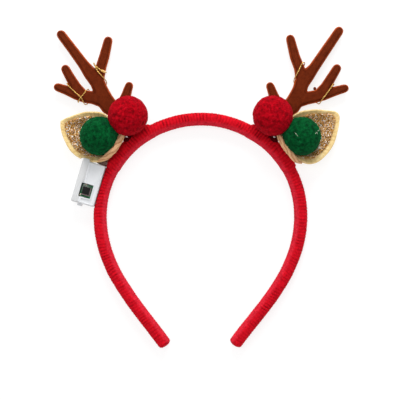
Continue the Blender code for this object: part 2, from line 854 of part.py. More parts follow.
def build_switch():
    board_low = BOX_DEPTH - WINDOW_DEPTH + GAP
    board_high = board_low + BOARD_THICKNESS
    base_low = board_high + GAP
    base_high = base_low + SWITCH_HEIGHT
    button_low = base_high + GAP + BUTTON_TRAVEL
    half_board = (WINDOW_WIDTH / 2 - GAP, WINDOW_LENGTH / 2 - GAP)
    small_block("circuit_board", *half_board, (board_low, board_high), green_board(), BOARD_ROUNDING)
    half_switch = SWITCH_WIDTH / 2
    base_heights = (base_low, base_high)
    small_block("switch_base", half_switch, half_switch, base_heights, grey_metal(), SWITCH_ROUNDING)
    half_button = BUTTON_WIDTH / 2
    button_heights = (button_low, button_low + BUTTON_HEIGHT)
    small_block("switch_button", half_button, half_button, button_heights, black_plastic(), BUTTON_ROUNDING)


# Light wire


def smooth_route(points, step):
    """Places a step apart on a smooth curve through the points."""
    places = []
    for i in range(len(points) - 1):
        a = points[max(i - 1, 0)]
        b = points[i]
        c = points[i + 1]
        d = points[min(i + 2, len(points) - 1)]
        pieces = max(1, round((c - b).length / step))
        for k in range(pieces):
            t = k / pieces
            place = b * 2 + (c - a) * t + (a * 2 - b * 5 + c * 4 - d) * t**2 + (b * 3 - a - c * 3 + d) * t**3
            places.append(place * 0.5)
    places.append(points[-1])
    return places


def lay_on(surface, place, distance):
    """Moves a place out from a surface until it is at least a distance clear."""
    near, normal, _, _ = surface.find_nearest(place)
    away = place - near
    inside = away.dot(normal) < 0
    if inside:
        return near + normal * distance
    if away.length < distance:
        if away.length < 1e-6:
            away = normal
        return near + away.normalized() * distance
    return place


def build_wire(side, antler):
    """A thin wire wound round the antler's branches, lying on its surface."""
    surface = surface_of(antler)
    foot = polar(side, ANTLER_ANGLE, PALM_FOOT, BAND_MIDDLE)
    lift = ANTLER_THICKNESS / 2 + GAP + WIRE_DIAMETER / 2
    points = []
    for out, up, level in ROUTES[side]:
        place = foot + Vector((side * out, up, 0)) * ANTLER_SIZE
        place.z += math.copysign(min(abs(level), 1), level) * lift
        if abs(level) > 1:
            place.z += math.copysign((abs(level) - 1) * 2 * WIRE_DIAMETER, level)
        points.append(place)
    clearance = GAP + WIRE_DIAMETER / 2 + WIRE_SLACK
    places = smooth_route(points, WIRE_STEP)
    for _ in range(WIRE_EASINGS):
        places = [lay_on(surface, place, clearance) for place in places]
        eased = [(a + b * 2 + c) / 4 for a, b, c in zip(places, places[1:], places[2:])]
        places = [places[0]] + eased + [places[-1]]
    places = [lay_on(surface, place, clearance) for place in places]
    name = "light_wire_" + SIDE_NAMES[side]
    curve = bpy.data.curves.new(name, "CURVE")
    curve.dimensions = "3D"
    curve.bevel_depth = WIRE_DIAMETER / 2
    curve.bevel_resolution = 0
    curve.use_fill_caps = True
    spline = curve.splines.new("POLY")
    spline.points.add(len(places) - 1)
    for point, place in zip(spline.points, places):
        point.co = (*place, 1.0)
    curve.materials.append(gold_wire())
    wire = bpy.data.objects.new(name, curve)
    bpy.context.scene.collection.objects.link(wire)
    return wire


def build_glue_pad():
    """The lump of glue in the corner between the band's outside and the battery box's end at the ear."""
    bm = bmesh.new()
    bmesh.ops.create_icosphere(bm, subdivisions=2, radius=GLUE_RADIUS)
    _, along, outward = box_axes()
    past_box = BOX_SLIDE + BOX_LENGTH / 2 + GAP + GLUE_RADIUS
    from_crown = SHOULDER_OUTSIDE + GAP + GLUE_RADIUS
    middle = along * past_box + outward * math.sqrt(from_crown**2 - past_box**2)
    middle.z = BAND_MIDDLE
    for vertex in bm.verts:
        vertex.co += middle
    return make_object("glue_pad", bm, clear_glue())


def main():
    clear_scene()
    band = build_band()
    for side in (LEFT, RIGHT):
        antler = build_antler(side)
        shell = build_ear_shell(side)
        lining = build_ear_lining(side)
        bpy.context.view_layer.update()
        build_green_pompon(side, (shell, lining, antler, band))
        build_red_pompon(side, (shell, lining, antler, band))
        build_wire(side, antler)
    build_battery_box()
    build_battery_lid()
    build_switch()
    build_glue_pad()


main()
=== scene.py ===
"""Looks of the reindeer antler headband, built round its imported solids. Metres, +Z towards the viewer."""
import math

import bmesh
import bpy
import numpy as np
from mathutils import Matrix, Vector
from mathutils.bvhtree import BVHTree


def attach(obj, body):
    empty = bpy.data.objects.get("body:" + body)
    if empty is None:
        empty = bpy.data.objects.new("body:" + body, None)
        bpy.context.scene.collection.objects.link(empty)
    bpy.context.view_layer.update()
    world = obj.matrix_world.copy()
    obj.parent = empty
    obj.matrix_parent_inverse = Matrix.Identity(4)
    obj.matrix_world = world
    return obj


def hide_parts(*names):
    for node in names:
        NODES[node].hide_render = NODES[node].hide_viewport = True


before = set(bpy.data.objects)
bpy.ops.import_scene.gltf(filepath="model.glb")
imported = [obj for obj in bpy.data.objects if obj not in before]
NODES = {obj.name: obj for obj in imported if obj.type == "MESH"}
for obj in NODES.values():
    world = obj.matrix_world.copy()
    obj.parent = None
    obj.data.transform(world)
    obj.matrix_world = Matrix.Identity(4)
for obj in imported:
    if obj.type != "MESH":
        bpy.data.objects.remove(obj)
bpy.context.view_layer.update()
BODY = "headband"
BUTTON_BODY = "button"

LEFT = -1
RIGHT = 1
SIDE_NAMES = {LEFT: "left", RIGHT: "right"}

# Camera, straight above the headband, and the width that it sees at the band's middle
CAMERA_DISTANCE = 1.0
FRAME_WIDTH = 0.258
CAMERA_X = -0.00026
CAMERA_Y = 0.01213

# Space between neighbouring pieces
GAP = 0.0003

# Band
CROWN_RADIUS = 0.06475
CROWN_ANGLE = math.radians(78.5)
SIDE_RADIUS = 0.0683
SIDE_END_ANGLE = math.radians(125.0)
LEG_LENGTH = 0.0519
BAND_WIDTH = 0.0080
BAND_DEPTH = 0.0100
TIP_ROUNDING = 0.0026
SHOULDER_START = math.radians(28.0)
SHOULDER_END = math.radians(60.5)
SHOULDER_FADE = math.radians(1.5)
SHOULDER_EXTRA = 0.0003
COVER_FULLNESS = 0.00018
RIB_PITCH = 0.00200
RIB_RELIEF = 0.00024
STITCH_RELIEF = 0.00012
STITCHES_ROUND = 8
FINE_RELIEF = 0.00004
LUMP_RELIEF = 0.00008
SQUARENESS = 2.3
TIP_SQUARENESS = 2.2
COVER_CLEARANCE = 0.00005
BAND_RINGS = 1240
BAND_SIDES = 56
CUFF_END = math.radians(61.4)
CUFF_PROUD = 0.0009

# How far the band's middle lies outside its plain arcs. Each row: distance from the crown's top, and offset.
BAND_SWAY = {
    LEFT: ((0.0, -0.00050), (0.018, -0.00045), (0.050, 0.00030), (0.072, 0.00035), (0.127, -0.00058),
           (0.158, 0.00042), (0.198, -0.00080)),
    RIGHT: ((0.0, -0.00050), (0.011, -0.00030), (0.027, -0.00020), (0.052, 0.00060), (0.068, 0.00068),
            (0.129, -0.00065), (0.156, 0.00042), (0.198, -0.00135)),
}

# Antlers
ANTLER_ANGLE = math.radians(36.3)
ANTLER_SIZE = 0.0645
ANTLER_THICKNESS = 0.0046
ANTLER_MESH_STEP = 0.00045
ANTLER_SOFTENINGS = 10
ANTLER_FULLNESS = 0.00022

# Pompons
RED_ANGLE = math.radians(35.0)
RED_RADIUS = 0.0127
RED_OVERHANG = 0.0014
GREEN_ANGLE = math.radians(50.7)
GREEN_RADIUS = 0.0124
GREEN_PRESSED_SIDE = 0.0015
PRESSED_BACK = 0.0022
RED_FULLNESS = {LEFT: 0.00035, RIGHT: 0.00045}
GREEN_FULLNESS = {LEFT: 0.00030, RIGHT: 0.00030}
GREEN_SHIFT = {LEFT: 0.00040, RIGHT: 0.00010}
POMPON_DIVISIONS = 6
POMPON_INSET = 0.0003
LUMP_SIZE = 0.00012
CLUMP_DEPTH = 0.00022
PRESS_START = 0.0005
PRESS_FADE = 0.0007

# Felt of the pompons, as colours on a screen: three shades of the ball and its sheen, shades of its fibres
# and of its long strands, the scale of its clumps, and how strong sheen and clumps are on the fibres
POMPON_FELTS = {
    "red": {
        "ball": ((104, 0, 6), (150, 0, 14), (186, 6, 26), (255, 50, 70)),
        "fibre": ((118, 0, 8), (162, 0, 18), (204, 12, 38)),
        "strand": ((150, 2, 20), (182, 12, 34), (212, 40, 64)),
        "scale": 480,
        "fibre_sheen": 0.25,
        "fibre_mottle": 0.34,
    },
    "green": {
        "ball": ((0, 34, 14), (0, 64, 28), (4, 90, 42), (60, 170, 110)),
        "fibre": ((0, 44, 17), (0, 78, 36), (8, 108, 54)),
        "strand": ((2, 72, 34), (12, 92, 48), (40, 124, 80)),
        "scale": 440,
        "fibre_sheen": 0.2,
        "fibre_mottle": 0.36,
    },
}
STRAND_SHEEN = 0.15
STRAND_MOTTLE = 0.2

# Naps of short fibres: how many, how long, how wide, and how far they lean
BAND_NAP = (62000, 0.00050, 0.00009, 1.6)
ANTLER_NAP = (26000, 0.00030, 0.00008, 1.1)
EDGE_NAP = (14000, 0.00036, 0.00009, 1.1)
POMPON_NAP = (24000, 0.00060, 0.00009, 1.5)
EAR_NAP = (16000, 0.00035, 0.00008, 1.4)
ROLL_NAP = (1200, 0.00030, 0.00006, 1.4)

# Long strands on each pompon: how many, how long, how wide, and how far they stand off
POMPON_STRANDS = (1100, 0.0024, 0.00006, 0.00020)

# Ears
EAR_LENGTH = 0.0145
EAR_RISE = 0.0150
EAR_WALL = 0.0015
EAR_FLOOR = 0.0020
ROLL_WIDTH = 0.0028
ROLL_START = 0.75
LINING_WALL = 0.0006
EAR_HEM = 0.0030
CREASE_WIDTH = 0.00040
CREASE_DEPTH = 0.00026
CREASE_STEPS = (0.0026, 0.0052)
LINING_BUMPS = 0.00007

# Glitter: how many flakes, the share of long ones, and from and to for their lengths, width and height
FLAKE_COUNT = 6500
LONG_SHARE = 0.30
LONG_FLAKE = (0.0009, 0.0016)
SHORT_FLAKE = (0.00035, 0.0007)
FLAKE_WIDTH = (0.00025, 0.00050)
FLAKE_HEIGHT = (0.00008, 0.00040)

# Points of the ears' meshes: round the rim, from the middle to the rim, and over the felt's edge
SHELL_COLUMNS = 400
SHELL_ROWS = 34
EDGE_ROWS = 11
LINING_COLUMNS = 260
LINING_ROWS = 30

# How much fuller the felt's rim is than its solid. Each row: degrees as in the rims' tables, and the outset.
EAR_FULLNESS = {
    LEFT: ((-110.0, 0.0), (-90.0, 0.0), (-70.0, 0.0004), (-40.0, 0.0009), (-20.0, 0.0008), (0.0, 0.0),
           (10.0, 0.0002), (22.0, 0.0009), (50.0, 0.0005), (70.0, 0.0008), (95.0, 0.0012), (125.0, 0.0006),
           (150.0, 0.0)),
    RIGHT: ((-110.0, -0.0002), (-90.0, -0.0001), (-70.0, 0.0009), (-50.0, 0.0013), (-25.0, 0.0010),
            (0.0, 0.0007), (18.0, 0.0), (50.0, 0.0001), (70.0, 0.0004), (95.0, 0.0008), (125.0, 0.0004),
            (150.0, 0.0)),
}

# The roll of twisted felt along the band. Each row: degrees from the crown's top, distance from the crown's
# middle, height, and half its width.
ROLL_PATHS = {
    LEFT: ((42.2, 0.0736, 0.0160, 0.0017), (44.6, 0.0725, 0.0168, 0.0021), (48.2, 0.0715, 0.0176, 0.0024),
           (52.6, 0.0712, 0.0178, 0.0025), (55.6, 0.0717, 0.0166, 0.0019), (58.4, 0.0734, 0.0148, 0.0013),
           (60.4, 0.0752, 0.0132, 0.0006)),
    RIGHT: ((42.6, 0.0736, 0.0160, 0.0015), (44.8, 0.0725, 0.0168, 0.0017), (48.4, 0.0716, 0.0176, 0.0018),
            (52.6, 0.0711, 0.0176, 0.0019), (56.6, 0.0711, 0.0166, 0.0019), (59.2, 0.0722, 0.0148, 0.0015),
            (61.0, 0.0742, 0.0128, 0.0008)),
}
ROLL_STRANDS = 4
ROLL_FLATNESS = 0.75
ROLL_SIDES = 96
ROLL_STEP = 0.00012
ROLL_LAY = 0.0082
SHELL_STRAND_WIDTH = 0.00105
SHELL_STRAND_LAY = 0.0065
SHELL_STRAND_RELIEF = 0.00045

# Battery box, its lid, board and button
BOX_ANGLE = math.radians(73.5)
BOX_SLIDE = 0.0014
BOX_PRESS = 0.0012
BOX_PRESS_SPAN = math.radians(13.4)
BOX_WIDTH = 0.0153
BOX_LENGTH = 0.0274
BOX_DEPTH = 0.0120
BOX_ROUNDING = 0.0012
BOX_EAR_CLEARANCE = 0.0012
BOX_LIP = 0.0010
BOX_DISH = 0.0004
LID_WIDTH = 0.0045
LID_PROUD = 0.0004
LID_OVERHANG = 0.0008
LID_LIP = 0.0006
LID_LIP_DEPTH = 0.0016
CASE_TUCK = 0.0013
CATCH_WIDTH = 0.0032
CATCH_LENGTH = 0.0017
CATCH_HEIGHTS = (0.0030, 0.0085)
CATCH_INSET = -0.0004
WINDOW_WIDTH = 0.0078
WINDOW_LENGTH = 0.0090
WINDOW_DEPTH = 0.0044
WINDOW_DROP = 0.0049
WINDOW_LIP = 0.0007
WINDOW_ROUNDING = 0.0003
SOFT_ROUNDING = 0.0005
LIP_ROUNDING = 0.0006
EDGE_BREAK = 0.00012
BOARD_THICKNESS = 0.0010
SWITCH_WIDTH = 0.0056
SWITCH_HEIGHT = 0.0010
SWITCH_SHIFT = 0.0003
BUTTON_WIDTH = 0.0047
BUTTON_HEIGHT = 0.0012
BUTTON_TRAVEL = 0.0003
BOARD_SHADE_REACH = 0.006

# Lumps on the board: place towards the band and towards the crown, and size
SOLDER_BLOBS = ((-0.0012, -0.0010, (0.0009, 0.0005, 0.0005)), (-0.0031, -0.0082, (0.0005, 0.0008, 0.0006)))
LACQUER_DROP = (0.0004, -0.0086, (0.0021, 0.0007, 0.0010))

# Loose threads at the box's end: place towards the band, and how far the tip leans that way
HAIR_RADIUS = 0.00009
BOX_THREADS = ((-0.0024, 0.0012), (-0.0010, -0.0009), (0.0006, 0.0010))
BOX_THREAD_BEND = (0.0002, 0.0001, 0.0003)

# Light wire: two thin strands twisted together, and its lamps
WIRE_DIAMETER = 0.0008
STRAND_RADIUS = 0.00020
STRAND_PITCH = 0.0032
WIRE_STEP = 0.0006
WIRE_EASINGS = 4
LAMP_LENGTH = 0.0022
LAMP_WIDTH = 0.0016

# Glue: the lump in the corner, the drop beside each red pompon, whitened as a painted glint, and the dark
# lump of painted shadow that it sits in
GLUE_RADIUS = 0.0016
GLUE_SIZE = (0.0053, 0.0027, 0.0024)
GLUE_SHIFT = (0.0006, 0.0018, 0.0012)
DROP_ANGLE = math.radians(42.0)
DROP_DISTANCE = 0.0711
DROP_HEIGHT = 0.0108
DROP_SIZE = (0.0007, 0.0005, 0.0006)
SEAT_SIZE = (0.0034, 0.0034, 0.0018)
SEAT_SUNK = 0.0020

# Lint on the right green pompon: from and to, outward and upward from its middle
LINT = (
    (-0.0050, 0.0018, -0.0036, 0.0006),
    (-0.0036, 0.0006, -0.0030, -0.0004),
    (0.0080, 0.0012, 0.0092, 0.0024),
    (0.0086, 0.0020, 0.0098, 0.0010),
    (0.0098, 0.0030, 0.0112, 0.0042),
)
LINT_BEND = 0.0006

# Places worked out from the sizes above
BAND_MIDDLE = BAND_DEPTH / 2
BAND_OUTSIDE = CROWN_RADIUS + BAND_WIDTH / 2
SHOULDER_OUTSIDE = BAND_OUTSIDE + SHOULDER_EXTRA
PALM_FOOT = SHOULDER_OUTSIDE + GAP
ANTLER_FRONT = BAND_MIDDLE + ANTLER_THICKNESS / 2
RED_DISTANCE = SHOULDER_OUTSIDE + RED_RADIUS - RED_OVERHANG
RED_HEIGHT = ANTLER_FRONT + GAP + RED_RADIUS - PRESSED_BACK
EAR_STACK = EAR_WALL + LINING_WALL + 2 * GAP
GREEN_DISTANCE = SHOULDER_OUTSIDE + 2 * GAP + ROLL_WIDTH + GREEN_RADIUS - GREEN_PRESSED_SIDE
GREEN_HEIGHT = EAR_FLOOR + EAR_STACK + GREEN_RADIUS - PRESSED_BACK
BOARD_LOW = BOX_DEPTH - WINDOW_DEPTH + GAP
BOARD_HIGH = BOARD_LOW + BOARD_THICKNESS
BUTTON_LOW = BOARD_HIGH + 2 * GAP + SWITCH_HEIGHT + BUTTON_TRAVEL

# Rims of the ears, seen from the green pompon's middle. Each row: degrees from straight outward, turning up;
# how far the rim stands out from the pompon; how high it rises; how steep the cup is; share of the roll.
LEFT_RIM = (
    (18.0, 0.97, 0.42, 2.0, 0.0),
    (6.0, 0.87, 0.44, 2.0, 0.0),
    (-8.0, 0.71, 0.46, 2.0, 0.0),
    (-26.0, 0.56, 0.48, 2.1, 0.0),
    (-45.0, 0.44, 0.50, 2.3, 0.0),
    (-66.0, 0.36, 0.55, 2.6, 0.0),
    (-87.0, 0.30, 0.66, 3.2, 0.15),
    (-103.0, 0.27, 0.82, 3.8, 0.60),
    (-118.0, 0.22, 0.96, 4.4, 1.0),
    (-138.0, 0.17, 1.03, 5.0, 1.0),
    (-152.0, 0.17, 1.03, 5.0, 1.0),
    (-167.0, 0.18, 1.00, 5.0, 1.0),
    (-180.0, 0.20, 0.86, 4.6, 0.7),
    (-206.0, 0.16, 0.38, 3.6, 0.0),
    (-228.0, 0.11, 0.32, 3.4, 0.0),
    (-247.0, 0.09, 0.36, 3.0, 0.0),
    (-269.0, 0.18, 0.42, 2.6, 0.0),
    (-300.0, 0.40, 0.43, 2.2, 0.0),
    (-322.0, 0.65, 0.42, 2.0, 0.0),
    (-336.0, 0.93, 0.42, 2.0, 0.0),
)
RIGHT_RIM = (
    (29.0, 1.11, 0.42, 2.0, 0.0),
    (20.0, 0.98, 0.43, 2.0, 0.0),
    (6.0, 0.76, 0.45, 2.0, 0.0),
    (-12.0, 0.61, 0.47, 2.1, 0.0),
    (-33.0, 0.49, 0.49, 2.3, 0.0),
    (-56.0, 0.44, 0.52, 2.5, 0.0),
    (-74.0, 0.39, 0.57, 2.8, 0.1),
    (-92.0, 0.30, 0.70, 3.4, 0.35),
    (-108.0, 0.27, 0.86, 4.0, 0.75),
    (-126.0, 0.18, 0.98, 4.6, 1.0),
    (-151.0, 0.16, 1.03, 5.0, 1.0),
    (-170.0, 0.19, 1.00, 5.0, 1.0),
    (-182.0, 0.20, 0.86, 4.6, 0.7),
    (-206.0, 0.16, 0.38, 3.6, 0.0),
    (-228.0, 0.12, 0.32, 3.4, 0.0),
    (-247.0, 0.13, 0.36, 3.0, 0.0),
    (-272.0, 0.26, 0.42, 2.6, 0.0),
    (-298.0, 0.52, 0.43, 2.2, 0.0),
    (-317.0, 0.86, 0.42, 2.0, 0.0),
    (-324.0, 1.06, 0.42, 2.0, 0.0),
)
RIMS = {LEFT: LEFT_RIM, RIGHT: RIGHT_RIM}

# Route of the light wire on each antler: out and up from the foot as shares of ANTLER_SIZE, and the level,
# which is 1 on the front, -1 on the back, 0 at an edge and 2 where it passes over itself.
LEFT_ROUTE = (
    (0.060, 0.080, -1),
    (0.220, 0.240, -1),
    (0.330, 0.400, -1),
    (0.375, 0.560, -1),
    (0.412, 0.668, 0),
    (0.375, 0.628, 1),
    (0.330, 0.603, 1),
    (0.304, 0.596, 0),
    (0.350, 0.606, -1),
    (0.400, 0.640, -1.8),
    (0.430, 0.676, -1),
    (0.425, 0.690, 0.5),
    (0.398, 0.620, 1),
    (0.350, 0.560, 1),
    (0.302, 0.500, 0),
    (0.345, 0.440, -1),
    (0.420, 0.380, -1),
    (0.480, 0.300, -1),
    (0.520, 0.276, 0),
    (0.550, 0.340, 1.7),
    (0.610, 0.395, 1),
    (0.680, 0.462, 1),
    (0.696, 0.492, 0),
    (0.650, 0.450, -1),
    (0.600, 0.360, -1),
    (0.585, 0.296, 0),
    (0.568, 0.332, 1),
    (0.528, 0.378, 1),
    (0.486, 0.432, 0),
    (0.470, 0.380, -1),
)
RIGHT_ROUTE = (
    (0.060, 0.080, -1),
    (0.220, 0.240, -1),
    (0.320, 0.400, -1),
    (0.360, 0.540, -1),
    (0.395, 0.660, -0.4),
    (0.408, 0.694, 0.2),
    (0.382, 0.692, 0.8),
    (0.352, 0.630, 1),
    (0.325, 0.575, 1),
    (0.300, 0.520, 0),
    (0.350, 0.440, -1),
    (0.430, 0.380, -1),
    (0.500, 0.330, -1),
    (0.548, 0.280, 0),
    (0.580, 0.330, 1),
    (0.625, 0.385, 1),
    (0.676, 0.460, 1),
    (0.690, 0.486, 0),
    (0.630, 0.420, -1),
)
ROUTES = {LEFT: LEFT_ROUTE, RIGHT: RIGHT_ROUTE}

# Tuft of flock on the right antler's lower branch, as a place on the antler like the route's
NUB_PLACE = (0.505, 0.437)
NUB_RADIUS = 0.0009

# Lamps on the wire, as places on the antler like the route's
LAMPS = {LEFT: ((0.336, 0.606), (0.311, 0.598)), RIGHT: ()}

# Light: strength of the sky at the horizon and overhead, the floor's glow, shade and reach, and the place,
# size and power of each lamp
HORIZON_LIGHT = 1.15
ZENITH_LIGHT = 0.42
FLOOR_GLOW = 0.80
FLOOR_SHADE = 0.22
FLOOR_REACH = 1.5
AREA_LIGHTS = {
    "key_top": ((0.05, 0.80, 0.50), 0.5, 7.0),
    "overhead": ((-0.25, 0.25, 1.2), 0.4, 3.0),
}


# Helpers


def polar(side, angle, distance, height=0.0):
    """The point at an angle from the crown's top, on the left or right side."""
    return Vector((side * distance * math.sin(angle), distance * math.cos(angle), height))


def red_middle(side):
    return polar(side, RED_ANGLE, RED_DISTANCE, RED_HEIGHT)


def green_middle(side):
    return polar(side, GREEN_ANGLE, GREEN_DISTANCE, GREEN_HEIGHT)


def smooth_step(share):
    share = np.clip(share, 0.0, 1.0)
    return share * share * (3 - 2 * share)


def smooth_rows(rows, at):
    """The second column of a short table of rows at places along its first, eased from row to row."""
    places, values = np.array(rows).T
    index = np.clip(np.searchsorted(places, at) - 1, 0, len(places) - 2)
    share = smooth_step((at - places[index]) / (places[index + 1] - places[index]))
    return values[index] * (1 - share) + values[index + 1] * share


def unit(vectors):
    return vectors / np.maximum(np.linalg.norm(vectors, axis=-1, keepdims=True), 1e-12)


def run_along(path):
    """Distance along a path of points, at each of them."""
    return np.concatenate([[0.0], np.cumsum(np.linalg.norm(np.diff(path, axis=0), axis=1))])


def curve_place(a, b, c, d, share):
    """A place between b and c on a smooth curve that comes from a and goes on to d."""
    bend = (a * 2 - b * 5 + c * 4 - d) * share**2 + (b * 3 - a - c * 3 + d) * share**3
    return (b * 2 + (c - a) * share + bend) / 2


def smooth_route(points, step):
    """Places a step apart on a smooth curve through the points."""
    places = []
    for i in range(len(points) - 1):
        around = (points[max(i - 1, 0)], points[i], points[i + 1], points[min(i + 2, len(points) - 1)])
        pieces = max(1, round((around[2] - around[1]).length / step))
        places += [curve_place(*around, k / pieces) for k in range(pieces)]
    places.append(points[-1])
    return places


def wave_noise(rng, *coordinates, waves=5, scale=1.0):
    """Smooth noise: a sum of plane waves in random directions."""
    total = np.zeros(np.broadcast(*coordinates).shape)
    for _ in range(waves):
        directions = rng.normal(size=len(coordinates)) * scale
        total = total + np.sin(sum(c * d for c, d in zip(coordinates, directions)) + rng.random() * 6.3)
    return total / math.sqrt(waves)


def mesh_object(name, points, faces, finish, smooth=True):
    """An object from arrays of points and of faces with as many corners each."""
    points = np.asarray(points, np.float32)
    faces = np.asarray(faces, np.int32)
    mesh = bpy.data.meshes.new(name)
    mesh.vertices.add(len(points))
    mesh.vertices.foreach_set("co", points.ravel())
    mesh.loops.add(faces.size)
    mesh.loops.foreach_set("vertex_index", faces.ravel())
    mesh.polygons.add(len(faces))
    mesh.polygons.foreach_set("loop_start", np.arange(len(faces), dtype=np.int32) * faces.shape[1])
    mesh.polygons.foreach_set("use_smooth", np.full(len(faces), smooth))
    mesh.update(calc_edges=True)
    mesh.materials.append(finish)
    return link_object(name, mesh)


def link_object(name, data):
    made = bpy.data.objects.new(name, data)
    bpy.context.scene.collection.objects.link(made)
    return made


def add_attribute(made, name, values):
    attribute = made.data.attributes.new(name, "FLOAT", "POINT")
    attribute.data.foreach_set("value", np.asarray(values, np.float32).ravel())


def ball_mesh(name, divisions):
    """A ball of radius 1, and its points."""
    bm = bmesh.new()
    bmesh.ops.create_icosphere(bm, subdivisions=divisions, radius=1.0)
    mesh = bpy.data.meshes.new(name)
    bm.to_mesh(mesh)
    bm.free()
    return mesh, mesh_points(mesh).astype(float)


def ball_object(mesh, places, finish):
    """The object of a ball whose points are moved to places."""
    mesh.vertices.foreach_set("co", places.astype(np.float32).ravel())
    mesh.update()
    mesh.materials.append(finish)
    mesh.shade_smooth()
    return link_object(mesh.name, mesh)


def grid_faces(rows, columns):
    """Quads of a grid of points whose columns are joined round."""
    row, column = np.meshgrid(np.arange(rows - 1), np.arange(columns), indexing="ij")
    start = row * columns
    following = (column + 1) % columns
    corners = (start + column, start + following, start + columns + following, start + columns + column)
    return np.stack(corners, axis=-1).reshape(-1, 4)


def close_ends(made, rings, sides):
    """Closes the first and the last ring of a tube, each to one point."""
    bm = bmesh.new()
    bm.from_mesh(made.data)
    bm.verts.ensure_lookup_table()
    first = [bm.verts[i] for i in range(sides)]
    last = [bm.verts[(rings - 1) * sides + i] for i in range(sides)]
    for ring in (first, last):
        middle = sum((vertex.co for vertex in ring), Vector()) / sides
        bmesh.ops.pointmerge(bm, verts=ring, merge_co=middle)
    bmesh.ops.recalc_face_normals(bm, faces=bm.faces)
    bm.to_mesh(made.data)
    bm.free()


def piece(made, body=BODY):
    """Lets a piece move with its body."""
    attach(made, body)
    return made


def apply_modifiers(made):
    """Bakes an object's modifiers into a mesh of its own."""
    bpy.context.view_layer.update()
    graph = bpy.context.evaluated_depsgraph_get()
    mesh = bpy.data.meshes.new_from_object(made.evaluated_get(graph))
    made.modifiers.clear()
    made.data = mesh
    return made


def mesh_points(mesh):
    points = np.empty(len(mesh.vertices) * 3, np.float32)
    mesh.vertices.foreach_get("co", points)
    return points.reshape(-1, 3)


def mesh_normals(mesh):
    normals = np.empty(len(mesh.vertices) * 3, np.float32)
    mesh.vertices.foreach_get("normal", normals)
    return normals.reshape(-1, 3)


def triangles_of(mesh):
    mesh.calc_loop_triangles()
    corners = np.empty(len(mesh.loop_triangles) * 3, np.int32)
    mesh.loop_triangles.foreach_get("vertices", corners)
    return corners.reshape(-1, 3)


def scatter(mesh, count, rng, keep=None):
    """Random places on a mesh with their normals, evenly spread or as dense as keep says."""
    points = mesh_points(mesh)
    normals = mesh_normals(mesh)
    triangles = triangles_of(mesh)
    a, b, c = (points[triangles[:, i]] for i in range(3))
    cross = np.cross(b - a, c - a)
    areas = np.linalg.norm(cross, axis=1)
    if keep is not None:
        areas = areas * keep((a + b + c) / 3, unit(cross))
    chosen = rng.choice(len(triangles), count, p=areas / areas.sum())
    share = rng.random((count, 2))
    over = share.sum(1) > 1
    share[over] = 1 - share[over]
    weights = np.stack([1 - share.sum(1), share[:, 0], share[:, 1]], axis=1)[:, :, None]
    places = (points[triangles[chosen]] * weights).sum(1)
    facing = unit((normals[triangles[chosen]] * weights).sum(1))
    return places, facing


def tangents(facing, rng):
    """Random directions along a surface."""
    aside = rng.normal(size=facing.shape)
    return unit(aside - facing * (aside * facing).sum(1, keepdims=True))


def nap(name, mesh, count, length, width, lean, seed, finish, keep=None):
    """Short fibres that stand on a surface, each one a thin blade that leans its own way."""
    rng = np.random.default_rng(seed)
    places, facing = scatter(mesh, count, rng, keep)
    aside = tangents(facing, rng) * lean * rng.random((count, 1)) ** 0.5
    ahead = unit(facing + aside)
    across = unit(np.cross(ahead, rng.normal(size=(count, 3)))) * width / 2
    run = length * (0.55 + 0.9 * rng.random((count, 1)) ** 1.5)
    root = places - facing * length * 0.25
    points = np.stack([root - across, root + across, root + ahead * run], axis=1)
    faces = np.arange(count * 3).reshape(-1, 3)
    return mesh_object(name, points.reshape(-1, 3), faces, finish, smooth=False)


def strands(name, mesh, count, length, width, lift, seed, finish):
    """Loose fibres that lie curved along a surface, each one a thin strip of four steps."""
    rng = np.random.default_rng(seed)
    places, facing = scatter(mesh, count, rng)
    ahead = tangents(facing, rng)
    across = np.cross(facing, ahead)
    curl = rng.normal(size=(count, 1)) * 1.2
    run = length * (0.5 + rng.random((count, 1)))
    height = lift * (0.4 + rng.random((count, 1)))
    steps = np.linspace(-1, 1, 5)
    rows = []
    for step in steps:
        along = ahead * step * run / 2 + across * curl * step**2 * run / 4
        drop = facing * (height * (1 - step**2) - 0.00010)
        taper = across * width / 2 * (1 - 0.75 * abs(step))
        middle = places + along + drop
        rows.append(np.stack([middle - taper, middle + taper], axis=1))
    points = np.stack(rows, axis=1).reshape(-1, 3)
    base = (np.arange(count) * 10)[:, None, None]
    quads = np.array([[2 * i, 2 * i + 1, 2 * i + 3, 2 * i + 2] for i in range(4)])[None]
    return mesh_object(name, points, (base + quads).reshape(-1, 4), finish, smooth=False)


# Materials


def shade(red, green, blue):
    """A colour in linear light from the way it looks on a screen, 0 to 255."""
    return tuple(((channel / 255 + 0.055) / 1.055) ** 2.4 if channel > 10 else channel / 255 / 12.92
                 for channel in (red, green, blue))


